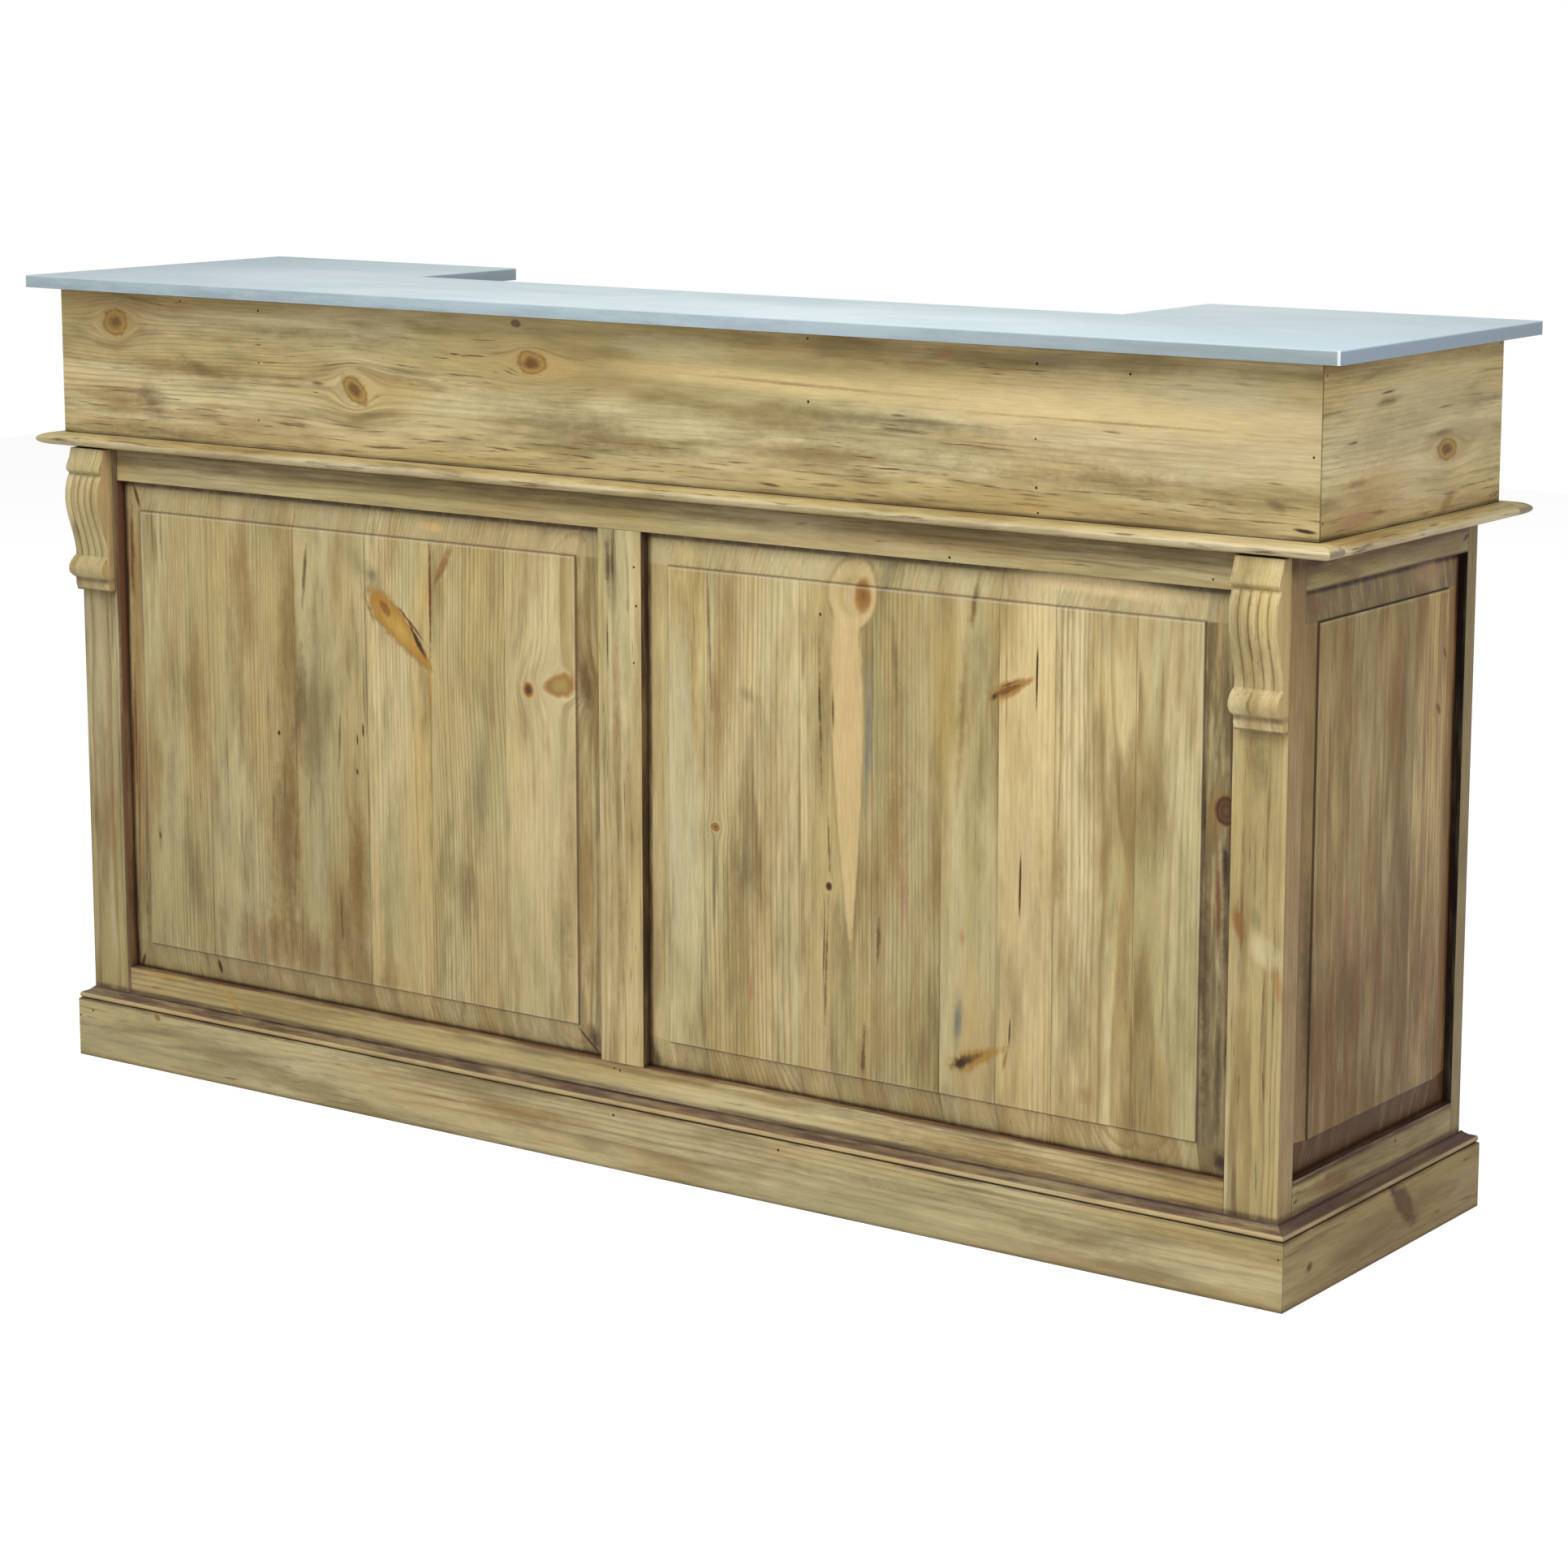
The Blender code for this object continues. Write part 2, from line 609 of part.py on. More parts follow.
def make_plinth(pine, moulded):
    """Plinth boards on all four sides, and the bead-and-cove moulding planted on top of them."""
    outer = (PLINTH_SIDE, PLINTH_FRONT, PLINTH_REAR)
    projections = {
        "front": PLINTH_FRONT_PROJECTION,
        "left": PLINTH_SIDE_PROJECTION,
        "right": PLINTH_SIDE_PROJECTION,
        "rear": PLINTH_REAR_PROJECTION,
    }
    foot = PLINTH_HEIGHT + GAP
    head = PLINTH_HEIGHT + CAP_HEIGHT
    shoulder = foot + CAP_BEAD_HEIGHT
    bead_centre = (CAP_SETBACK + CAP_BEAD_DEPTH, foot + CAP_BEAD_HEIGHT / 2)
    bead = arc(bead_centre, (CAP_BEAD_DEPTH, CAP_BEAD_HEIGHT / 2), 270, 90, CAP_STEPS)
    for side, projection in projections.items():
        inside = projection - GAP
        board = (
            (0.0, 0.0),
            (0.0, PLINTH_HEIGHT - PLINTH_EASING),
            (PLINTH_EASING, PLINTH_HEIGHT),
            (inside, PLINTH_HEIGHT),
            (inside, 0.0),
        )
        mitred_strip(f"plinth_{side}", side, outer, board, pine)
        cove = []
        for i in range(1, CAP_STEPS + 1):
            share = i / CAP_STEPS
            sag = 4 * CAP_COVE_SAG * share * (1 - share)
            inwards = bead_centre[0] + (inside - bead_centre[0]) * share
            cove.append((inwards, shoulder + (head - shoulder) * share - sag))
        moulding = [(inside, foot), *bead, *cove]
        mitred_strip(f"plinth_cap_{side}", side, outer, moulding, moulded)


def reed_columns():
    """(x, how deep the groove is there from 0 to 1) across the front of a corbel."""
    steps = REED_COUNT * REED_STEPS
    columns = []
    for i in range(steps + 1):
        t = 2 * (i % REED_STEPS) / REED_STEPS - 1
        columns.append((CORBEL_WIDTH * (i / steps - 0.5), t * t))
    return columns


def make_corbel(name, x, material):
    """A reeded S-shaped corbel under the ledge, with its origin at the top of the post's face."""
    columns = reed_columns()
    bm = bmesh.new()
    grid = []
    for drop, projection in CORBEL_PROFILE:
        fade = min((drop - REED_TOP) / REED_FADE, (REED_BOTTOM - drop) / REED_FADE)
        depth = REED_DEPTH * max(0.0, min(1.0, fade))
        row = [bm.verts.new((at, depth * groove - projection, -drop)) for at, groove in columns]
        grid.append(row)
    for upper, lower in zip(grid, grid[1:]):
        for i in range(len(columns) - 1):
            bm.faces.new((upper[i], upper[i + 1], lower[i + 1], lower[i]))
    border = [edge for edge in bm.edges if edge.is_boundary]
    returned = bmesh.ops.extrude_edge_only(bm, edges=border)["geom"]
    for item in returned:
        if isinstance(item, bmesh.types.BMVert):
            item.co.y = 0.0
    rim = [edge for edge in bm.edges if edge.is_boundary]
    bmesh.ops.edgeloop_fill(bm, edges=rim)
    return place(name, bm, material, (x, BODY_FRONT - GAP, LEDGE_BOTTOM - GAP))


clear_scene()
counter = bpy.data.objects.new("counter", None)
counter.location = (0.0, -MIDDLE, 0.0)
bpy.context.scene.collection.objects.link(counter)

zinc_sheet = finish_material("zinc_sheet", (0.60, 0.69, 0.74), 0.42, 0.85)
core_board = finish_material("core_board", (0.50, 0.38, 0.22), 0.75)
pine_frame = finish_material("pine_frame", (0.47, 0.37, 0.19), 0.55)
pine_panel = finish_material("pine_panel", (0.45, 0.33, 0.17), 0.52)
pine_moulding = finish_material("pine_moulding", (0.52, 0.42, 0.24), 0.55)
pine_inner = finish_material("pine_inner", (0.55, 0.42, 0.24), 0.65)

make_top(zinc_sheet, core_board)
make_fascia_box(pine_frame, pine_inner)
make_worktop(pine_moulding, pine_inner)
make_front_frame(pine_frame, pine_panel)
make_rear_frame(pine_frame)
make_side_frames(pine_frame, pine_panel)
make_inside(pine_inner)
make_plinth(pine_frame, pine_moulding)
for hand_name, hand_sign in HANDS:
    corbel_middle = hand_sign * (BODY_SIDE - CORBEL_SIDE_MARGIN - CORBEL_WIDTH / 2)
    make_corbel(f"corbel_{hand_name}", corbel_middle, pine_moulding)
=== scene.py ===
import math
import random
from functools import partial

import bmesh
import bpy
from mathutils import Matrix, Vector


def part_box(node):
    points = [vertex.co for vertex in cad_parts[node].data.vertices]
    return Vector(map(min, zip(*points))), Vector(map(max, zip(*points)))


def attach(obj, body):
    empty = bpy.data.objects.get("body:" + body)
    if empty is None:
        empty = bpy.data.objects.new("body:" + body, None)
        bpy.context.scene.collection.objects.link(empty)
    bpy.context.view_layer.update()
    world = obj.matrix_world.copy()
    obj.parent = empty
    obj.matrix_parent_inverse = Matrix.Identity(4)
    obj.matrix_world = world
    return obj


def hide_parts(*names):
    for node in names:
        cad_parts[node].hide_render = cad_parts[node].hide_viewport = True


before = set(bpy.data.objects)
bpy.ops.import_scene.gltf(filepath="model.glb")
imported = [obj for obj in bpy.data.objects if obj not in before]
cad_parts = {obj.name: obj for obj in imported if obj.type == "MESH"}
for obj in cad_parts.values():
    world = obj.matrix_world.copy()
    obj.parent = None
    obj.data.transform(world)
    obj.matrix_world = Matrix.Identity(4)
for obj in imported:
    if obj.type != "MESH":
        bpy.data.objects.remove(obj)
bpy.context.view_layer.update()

# The photograph's camera: its place in metres, its three directions, and its lens in pixels
photo = dict(
    side=1932,
    focal=4832.0,
    centre=(983.63, 854.78),
    place=Vector((2.9977, -4.0459, 1.4686)),
    right=Vector((0.8140, 0.5808, 0.0011)),
    down=Vector((0.1015, -0.1404, -0.9849)),
    forward=Vector((-0.5719, 0.8018, -0.1732)),
)

# Screen colours of the pine, its stain and its marks, and of the painted shade in its hollows and jambs
palette = dict(
    pale=(214, 199, 153),
    straw=(191, 172, 117),
    honey=(199, 166, 105),
    tan=(150, 119, 67),
    green=(166, 158, 110),
    olive=(118, 97, 53),
    slate=(121, 112, 82),
    umber=(82, 57, 36),
    stain=(54, 31, 23),
    plum=(84, 60, 50),
    gold=(184, 144, 70),
    amber=(172, 120, 54),
    rust=(124, 78, 40),
    bark=(74, 42, 22),
    blush=(213, 182, 126),
    rose=(180, 104, 88),
    ringLine=(134, 102, 54),
    black=(20, 14, 11),
)
axisIndex = dict(x=0, y=1, z=2)


def thirdAxis(first, second):
    return ({"x", "y", "z"} - {first, second}).pop()


# A palette name or a 0-255 screen colour, as the shader's linear colour
def linear(colour):
    values = palette[colour] if isinstance(colour, str) else colour
    made = []
    for value in values:
        share = value / 255
        made.append(share / 12.92 if share <= 0.04045 else ((share + 0.055) / 1.055) ** 2.4)
    return (*made, 1.0)


# The point of the plane axis = level that shows at a pixel of the photograph
def fromPhoto(spot, axis, level):
    across = (spot[0] - photo["centre"][0]) / photo["focal"]
    below = (spot[1] - photo["centre"][1]) / photo["focal"]
    ray = photo["forward"] + photo["right"] * across + photo["down"] * below
    return photo["place"] + ray * ((level - photo["place"][axisIndex[axis]]) / ray[axisIndex[axis]])


# Small helpers that keep the node code short
def node(tree, kind, inputs=None, **properties):
    made = tree.nodes.new(kind)
    for key, value in properties.items():
        setattr(made, key, value)
    for key, value in (inputs or {}).items():
        socket = made.inputs[key]
        if isinstance(value, bpy.types.NodeSocket):
            tree.links.new(value, socket)
        else:
            socket.default_value = value
    return made


def maths(tree, operation, first, second=0.0, third=0.0):
    inputs = {0: first, 1: second, 2: third}
    return node(tree, "ShaderNodeMath", inputs, operation=operation).outputs[0]


def times(tree, first, second):
    return maths(tree, "MULTIPLY", first, second)


def scaled(tree, value, factor, offset):
    return maths(tree, "MULTIPLY_ADD", value, factor, offset)


def minus(tree, first, second):
    return maths(tree, "SUBTRACT", first, second)


def remap(tree, value, low, high, toLow=0.0, toHigh=1.0, smooth=True):
    inputs = {"Value": value, 1: low, 2: high, 3: toLow, 4: toHigh}
    kind = "SMOOTHSTEP" if smooth else "LINEAR"
    return node(tree, "ShaderNodeMapRange", inputs, interpolation_type=kind).outputs[0]


def blend(tree, share, first, second, kind="MIX"):
    inputs = {0: share, 6: first, 7: second}
    return node(tree, "ShaderNodeMix", inputs, data_type="RGBA", blend_type=kind).outputs[2]


def paint(tree, under, share, shade):
    return blend(tree, share, under, linear(shade))


def stretch(tree, vector, scale, shift=0.0):
    inputs = {0: vector, 1: scale, 2: (shift, shift, shift)}
    return node(tree, "ShaderNodeVectorMath", inputs, operation="MULTIPLY_ADD").outputs[0]


def noise(tree, vector, detail=2.0, roughness=0.5, distortion=0.0):
    inputs = dict(Vector=vector, Scale=1.0, Detail=detail, Roughness=roughness, Distortion=distortion)
    return node(tree, "ShaderNodeTexNoise", inputs).outputs[0]


def combine(tree, first, second, third):
    return node(tree, "ShaderNodeCombineXYZ", {0: first, 1: second, 2: third}).outputs[0]


def grey(tree, value):
    return node(tree, "ShaderNodeCombineColor", {0: value, 1: value, 2: value}).outputs[0]


def ramp(tree, value, stops, steps=False):
    made = node(tree, "ShaderNodeValToRGB", {0: value})
    bar = made.color_ramp
    bar.interpolation = "CONSTANT" if steps else "LINEAR"
    while len(bar.elements) < len(stops):
        bar.elements.new(1.0)
    for element, (place, colour) in zip(bar.elements, stops):
        element.position = place
        element.color = colour
    return made.outputs


def newMaterial(name):
    material = bpy.data.materials.new(name)
    material.use_nodes = True
    tree = material.node_tree
    return material, tree, tree.nodes["Principled BSDF"]


def addObject(name, data):
    made = bpy.data.objects.new(name, data)
    bpy.context.scene.collection.objects.link(made)
    return made


def nodeGroup(name, inputs, outputs):
    tree = bpy.data.node_groups.new(name, "ShaderNodeTree")
    for direction, names in (("INPUT", inputs), ("OUTPUT", outputs)):
        for socket in names:
            tree.interface.new_socket(name=socket, in_out=direction, socket_type="NodeSocketFloat")
    return tree, node(tree, "NodeGroupInput").outputs


# How far a point is from an oval mark: 0 in its middle, 1 on its rim
def makeSpotGroup():
    names = ("Along", "Across", "Wobble", "AtAlong", "AtAcross", "Length", "Width", "Cosine", "Sine", "Taper",
             "Rough")
    tree, given = nodeGroup("ovalMark", names, ("Distance",))
    left = minus(tree, given["Along"], given["AtAlong"])
    up = minus(tree, given["Across"], given["AtAcross"])
    leftShare = scaled(tree, left, given["Cosine"], times(tree, up, given["Sine"]))
    alongShare = maths(tree, "DIVIDE", leftShare, given["Length"])
    narrowest = 0.12
    widening = maths(tree, "MAXIMUM", scaled(tree, alongShare, given["Taper"], 1.0), narrowest)
    sideways = minus(tree, times(tree, up, given["Cosine"]), times(tree, left, given["Sine"]))
    acrossShare = maths(tree, "DIVIDE", sideways, times(tree, given["Width"], widening))
    squared = scaled(tree, alongShare, alongShare, times(tree, acrossShare, acrossShare))
    distance = scaled(tree, given["Wobble"], given["Rough"], maths(tree, "SQRT", squared))
    node(tree, "NodeGroupOutput", {"Distance": distance})
    return tree


# How far a knot pushes the grain aside: the fibres part before it and close again behind it
def makePushGroup():
    names = ("Along", "Across", "AtAlong", "AtAcross", "Length", "Width")
    tree, given = nodeGroup("grainRoundKnot", names, ("Push",))
    left = minus(tree, given["Along"], given["AtAlong"])
    up = minus(tree, given["Across"], given["AtAcross"])
    share = maths(tree, "DIVIDE", times(tree, left, given["Width"]), given["Length"])
    near = scaled(tree, share, share, times(tree, up, up))
    room = times(tree, given["Width"], given["Width"])
    turned = maths(tree, "DIVIDE", room, maths(tree, "MAXIMUM", near, room))
    push = times(tree, times(tree, up, turned), -1.0)
    node(tree, "NodeGroupOutput", {"Push": push})
    return tree


def useGroup(tree, group, values):
    made = node(tree, "ShaderNodeGroup", node_tree=group)
    for socket, value in zip(made.inputs, values):
        if isinstance(value, bpy.types.NodeSocket):
            tree.links.new(value, socket)
        else:
            socket.default_value = value
    return made.outputs[0]


spotGroup = makeSpotGroup()
pushGroup = makePushGroup()

# How a mark of each kind looks: its colours from the middle to the rim, how soft and how ragged
# the rim is, how strongly it covers the wood, and whether the grain runs round it
markKinds = dict(
    knot=dict(
        colours=((0.0, "bark"), (0.22, "rust"), (0.5, "amber"), (0.72, "rust"), (0.84, "amber"),
                 (1.0, "honey")),
        soft=0.3, rough=0.95, strength=0.9, push=True,
    ),
    ovalKnot=dict(
        colours=((0.0, "rust"), (0.24, (112, 82, 44)), (0.42, "tan"), (0.6, "gold"), (0.76, (128, 98, 56)),
                 (0.88, "gold"), (1.0, "honey")),
        soft=0.35, rough=0.75, strength=0.92, push=True,
    ),
    leaf=dict(
        colours=((0.0, "tan"), (0.3, "gold"), (0.7, "gold"), (0.9, "tan"), (1.0, "rust")),
        soft=0.2, rough=0.7, strength=0.9, solid=True,
    ),
    pin=dict(
        colours=((0.0, "black"), (0.5, "bark"), (1.0, "rust")),
        soft=0.4, rough=0.3, strength=0.95, push=True,
    ),
    halo=dict(colour="honey", soft=0.7, rough=0.3, strength=0.6),
    flame=dict(colour="blush", soft=0.35, rough=0.22, strength=0.85, solid=True),
    gold=dict(colour="gold", soft=0.9, rough=0.6, strength=0.65),
    pale=dict(colour="pale", soft=0.6, rough=0.5, strength=0.75),
    tan=dict(colour="tan", soft=0.95, rough=1.1, strength=0.7),
    smudge=dict(colour="olive", soft=1.0, rough=1.2, strength=0.66),
    green=dict(colour="green", soft=0.95, rough=0.9, strength=0.75),
    shade=dict(colour="slate", soft=1.0, rough=0.9, strength=0.6),
    streak=dict(colour="umber", soft=0.8, rough=0.9, strength=0.85),
    crack=dict(colours=((0.0, "stain"), (1.0, "umber")), soft=0.5, rough=0.6, strength=0.95, solid=True),
    rosy=dict(colour="rose", soft=0.9, rough=0.9, strength=0.7),
    dark=dict(colour="stain", soft=0.9, rough=1.1, strength=0.9),
)

# Layers of figure and stain under the marks. along and across say how quickly each changes,
# per metre, and amount names the value of a board's look that gives its strength
figureLayers = (
    dict(amount="pale", colour="pale", along=1.5, across=12.0, detail=4.0, low=0.40, high=0.60),
    dict(amount="honey", colour="honey", along=2.1, across=15.0, detail=4.0, low=0.48, high=0.72),
    dict(amount="green", colour="green", along=2.4, across=14.0, detail=4.0, low=0.47, high=0.68),
)
stainLayers = (
    dict(amount="lines", colour="olive", along=3.5, across=110.0, detail=4.0, low=0.50, high=0.76),
    dict(amount="smudge", colour="olive", along=4.2, across=22.0, detail=4.5, low=0.46, high=0.70),
    dict(amount="tan", colour="tan", along=3.4, across=18.0, detail=4.5, low=0.49, high=0.72),
)

# The grain's other clouds: how quickly each changes along and across the fibres, per metre, its
# detail, its roughness, and a shift that sets it apart from the others
clouds = dict(
    slowWave=(1.6, 4.0, 2.0, 0.45),
    quickWave=(9.0, 38.0, 2.0, 0.5, 3.1),
    faintness=(1.2, 9.0, 3.0, 0.55, 25.0),
    cluster=(2.2, 11.0, 2.0, 0.55, 31.0),
    streaks=(4.2, 95.0, 3.0, 0.62, 11.9),
    flecks=(17.0, 330.0, 2.0, 0.55, 7.7),
    fibre=(30.0, 640.0, 2.0, 0.5, 2.2),
    mottle=(11.0, 48.0, 4.0, 0.65, 43.0),
    ragged=(7.0, 55.0, 4.0, 0.65, 27.0),
    dashes=(13.0, 230.0, 3.0, 0.6, 61.0),
    patch=(6.0, 52.0, 4.0, 0.64, 53.0),
)

# How each sort of board looks where nothing else is said
woodLooks = dict(
    frame=dict(
        ringWidth=0.0050, ringDark=0.36, wave=0.016, core=0.075, pith=0.8, tone=1.0, gloss=0.46,
        pale=0.85, honey=0.45, green=0.45, lines=0.35, smudge=0.5, tan=0.4, streak=0.55, flecks=0.6,
        hollowShadeAndDirt=0.85, hollowShadeReach=0.010,
    ),
    panel=dict(
        ringWidth=0.0054, ringDark=0.36, wave=0.018, core=0.085, pith=1.6, tone=1.0, gloss=0.44,
        pale=0.75, honey=0.55, green=0.5, lines=0.25, smudge=0.6, tan=0.6, streak=0.5, flecks=0.45,
        hollowShadeAndDirt=0.85, hollowShadeReach=0.010, wornHighlight=0.4, grooved=0.55,
        grooveColour="plum", lightFalloff=0.10,
    ),
    moulding=dict(
        ringWidth=0.0050, ringDark=0.34, wave=0.006, core=0.09, pith=1.2, tone=1.0, gloss=0.46,
        pale=0.6, honey=0.45, green=0.35, lines=0.4, smudge=0.5, tan=0.45, streak=0.6, flecks=0.5,
        hollowShadeAndDirt=0.9, hollowShadeReach=0.007,
    ),
    inner=dict(
        ringWidth=0.0065, ringDark=0.5, wave=0.016, core=0.07, pith=0.6, tone=1.0, gloss=0.55,
        pale=0.8, honey=0.55, green=0.15, lines=0.25, smudge=0.2, tan=0.25, streak=0.2, flecks=0.2,
        hollowShadeAndDirt=0.6, hollowShadeReach=0.02,
    ),
)

# Pine's surface, and how a board's step is marked: where the dark line and the pale one beside it
# run, from the step's edge, how wide they are, and the pale line's colour. The pale line is wear
# with a painted highlight.
pineSurface = dict(specular=0.26, bumpStrength=0.3, bumpDistance=0.0005)
stepLines = dict(groove=0.0007, wornHighlight=-0.0022, core=0.0004, wide=0.0018, colour=(214, 202, 184))

# A plank's pith is kept in the red of a colour ramp, where it is squeezed round this middle
pithMiddle, pithSqueeze = 0.375, 0.25

# How far beyond a knot's own length and width the grain runs round it
pushLength, pushWidth = 1.1, 0.85

# A band of stain ends over this length at the ends of its run, in metres
runOut = 0.004


# Pine: planks, growth rings, figure, stain, marks, bands of stain, wear, painted shade and painted
# highlights, and painted shade with dirt in the corners.
# grain is the axis that the fibres follow, face the axis that the broad side faces.
def woodMaterial(name, grain, face, look, box, planks=(), marks=(), bands=(), stains=(), step=None, seed=0,
                 **changes):
    low, high = box
    use = dict(woodLooks[look], **changes)
    dice = random.Random(seed)
    material, tree, shader = newMaterial(name)
    acrossAxis = thirdAxis(grain, face)
    place = node(tree, "ShaderNodeTexCoord").outputs
    parts = node(tree, "ShaderNodeSeparateXYZ", {0: place["Object"]}).outputs
    along, deep, across = (parts[axisIndex[axis]] for axis in (grain, face, acrossAxis))
    first, last = low[axisIndex[acrossAxis]], high[axisIndex[acrossAxis]]
    width = last - first

    # Each plank has its own pith, slice of the figure, tone and warmth
    planks = planks or (dict(start=first, tone=0.5, warm=0.5),)
    starts = [plank["start"] for plank in planks]
    stops = []
    for plank, start, stop in zip(planks, starts, [*starts[1:], last]):
        pith = (start + stop) / 2 + (stop - start) * dice.uniform(-1.0, 1.0) * use["pith"]
        packed = (pith - first) / width * pithSqueeze + pithMiddle
        values = (packed, dice.uniform(0.1, 0.9), plank["tone"], plank["warm"])
        stops.append(((start - first) / width, values))
    plankRamp = ramp(tree, remap(tree, across, first, last, smooth=False), stops, steps=True)
    plankParts = node(tree, "ShaderNodeSeparateColor", {0: plankRamp[0]}).outputs
    pith = scaled(tree, minus(tree, plankParts[0], pithMiddle), width / pithSqueeze, first)

    pushed = across
    for mark in marks:
        if mark["kind"].get("push"):
            reach = (mark["reach"][0] * pushLength, mark["reach"][1] * pushWidth)
            push = useGroup(tree, pushGroup, (along, across, *mark["at"], *reach))
            pushed = maths(tree, "ADD", pushed, push)
    slide = scaled(tree, plankParts[1], 3.7, seed * 0.61)
    grainPlace = combine(tree, maths(tree, "ADD", along, slide), pushed, deep)

    # A cloud that follows the grain
    def figure(alongScale, acrossScale, detail, roughness=0.6, shift=0.0):
        scale = (alongScale, acrossScale, acrossScale * 0.6)
        return noise(tree, stretch(tree, grainPlace, scale, shift), detail, roughness)

    # Growth rings round a pith behind the face, bent by slow waves along the board
    sideways = minus(tree, pushed, pith)
    middle = (low[axisIndex[face]] + high[axisIndex[face]]) / 2
    behind = maths(tree, "ADD", deep, use["core"] - middle)
    radius = maths(tree, "SQRT", scaled(tree, sideways, sideways, times(tree, behind, behind)))
    radius = scaled(tree, figure(*clouds["slowWave"]), use["wave"], radius)
    radius = scaled(tree, figure(*clouds["quickWave"]), 0.0026, radius)
    uneven = noise(tree, combine(tree, times(tree, radius, 48.0), plankParts[1], seed), 2.0)
    turns = scaled(tree, radius, 1.0 / use["ringWidth"], times(tree, uneven, 3.2))
    phase = maths(tree, "FRACT", turns)
    ring = times(tree, remap(tree, phase, 0.4, 0.88), remap(tree, phase, 0.88, 1.0, 1.0, 0.0))
    faint = figure(*clouds["faintness"])
    faint = remap(tree, faint, 0.36, 0.64, use["ringDark"] * 0.25, use["ringDark"] * 1.4)

    def layered(colour, layers, firstShift, nextShift):
        for index, layer in enumerate(layers):
            shift = firstShift + nextShift * index
            cloud = figure(layer["along"], layer["across"], layer["detail"], 0.6, shift)
            share = remap(tree, cloud, layer["low"], layer["high"], 0.0, use[layer["amount"]])
            colour = paint(tree, colour, share, layer["colour"])
        return colour

    colour = layered(linear("straw"), figureLayers, 5.3, 4.1)
    warm = plankRamp[1]
    colour = paint(tree, colour, remap(tree, warm, 0.5, 1.0, 0.0, 0.6, smooth=False), "blush")
    colour = paint(tree, colour, remap(tree, warm, 0.5, 0.0, 0.0, 0.6, smooth=False), "green")
    colour = paint(tree, colour, times(tree, ring, faint), "ringLine")
    colour = layered(colour, stainLayers, 17.3, 3.7)

    # Dark torn streaks in clusters, short flecks, and the fibres' own light and dark
    cluster = figure(*clouds["cluster"])
    streaks = remap(tree, figure(*clouds["streaks"]), 0.55, 0.70)
    streaks = times(tree, streaks, remap(tree, cluster, 0.46, 0.62, 0.0, use["streak"]))
    colour = paint(tree, colour, streaks, "umber")
    flecks = remap(tree, figure(*clouds["flecks"]), 0.65, 0.73)
    flecks = times(tree, flecks, remap(tree, cluster, 0.44, 0.58, 0.0, use["flecks"]))
    colour = paint(tree, colour, flecks, "bark")
    fibre = figure(*clouds["fibre"])
    mottle = figure(*clouds["mottle"])
    light = scaled(tree, fibre, 0.42, scaled(tree, mottle, 0.42, 0.58))
    shine = scaled(tree, plankParts[2], 0.5 * use["tone"], 0.75 * use["tone"])
    # Painted light: brighter near the top and darker towards the foot, as light falls off downwards
    if use.get("lightFalloff"):
        fade = use["lightFalloff"]
        fall = remap(tree, parts[2], 0.10, 0.82, 1.0 - fade, 1.0 + fade * 0.6, smooth=False)
        shine = times(tree, shine, fall)
    colour = blend(tree, 1.0, colour, grey(tree, shine), "MULTIPLY")

    for start in starts[1:]:
        near = maths(tree, "ABSOLUTE", minus(tree, across, start))
        colour = paint(tree, colour, remap(tree, near, 0.0, 0.0014, 0.45, 0.0), "umber")

    # Bands along a board, broken up by the grain: stain and wear, and painted shade and highlights
    ragged = figure(*clouds["ragged"])
    dashes = figure(*clouds["dashes"]) if any(item["dashed"] for item in bands) else None
    for item in bands:
        value = parts[axisIndex[item["axis"]]]
        enter = remap(tree, value, item["start"] - item["soft"], item["start"] + item["soft"])
        leave = remap(tree, value, item["stop"] - item["soft"], item["stop"] + item["soft"], 1.0, 0.0)
        least = 0.6 - 0.44 * item["cover"]
        cloud = dashes if item["dashed"] else ragged
        thin = item["strength"] * (1.0 - item["patchy"])
        torn = remap(tree, cloud, least, least + 0.2, thin, item["strength"])
        mask = times(tree, times(tree, enter, leave), torn)
        if item["within"]:
            axis, bottom, top = item["within"]
            value = parts[axisIndex[axis]]
            inside = remap(tree, value, bottom, bottom + runOut)
            inside = times(tree, inside, remap(tree, value, top - runOut, top, 1.0, 0.0))
            mask = times(tree, mask, inside)
        colour = paint(tree, colour, mask, item["colour"])

    wobbleScale = (90.0, 90.0, 60.0) if grain == "z" else (60.0, 60.0, 90.0)
    wobble = noise(tree, stretch(tree, place["Object"], wobbleScale, seed), 5.0, 0.7)
    wobble = minus(tree, wobble, 0.5)
    wobble = scaled(tree, ring, 0.06, wobble)
    patch = remap(tree, figure(*clouds["patch"]), 0.36, 0.60, 0.48, 1.0)
    for mark in marks:
        kind = mark["kind"]
        turn = (math.cos(mark["tilt"]), math.sin(mark["tilt"]))
        shape = (*mark["at"], *mark["size"], *turn, kind.get("taper", 0.0), kind["rough"])
        distance = useGroup(tree, spotGroup, (along, across, wobble, *shape))
        if "colour" in kind:
            shade = linear(kind["colour"])
        else:
            shade = ramp(tree, distance, [(at, linear(name)) for at, name in kind["colours"]])[0]
        mask = remap(tree, distance, 1.0 - kind["soft"], 1.0 + kind["soft"] * 0.12, kind["strength"], 0.0)
        if not kind.get("push") and not kind.get("solid"):
            mask = times(tree, mask, patch)
        colour = blend(tree, mask, colour, shade)

    colour = blend(tree, 1.0, colour, grey(tree, light), "MULTIPLY")
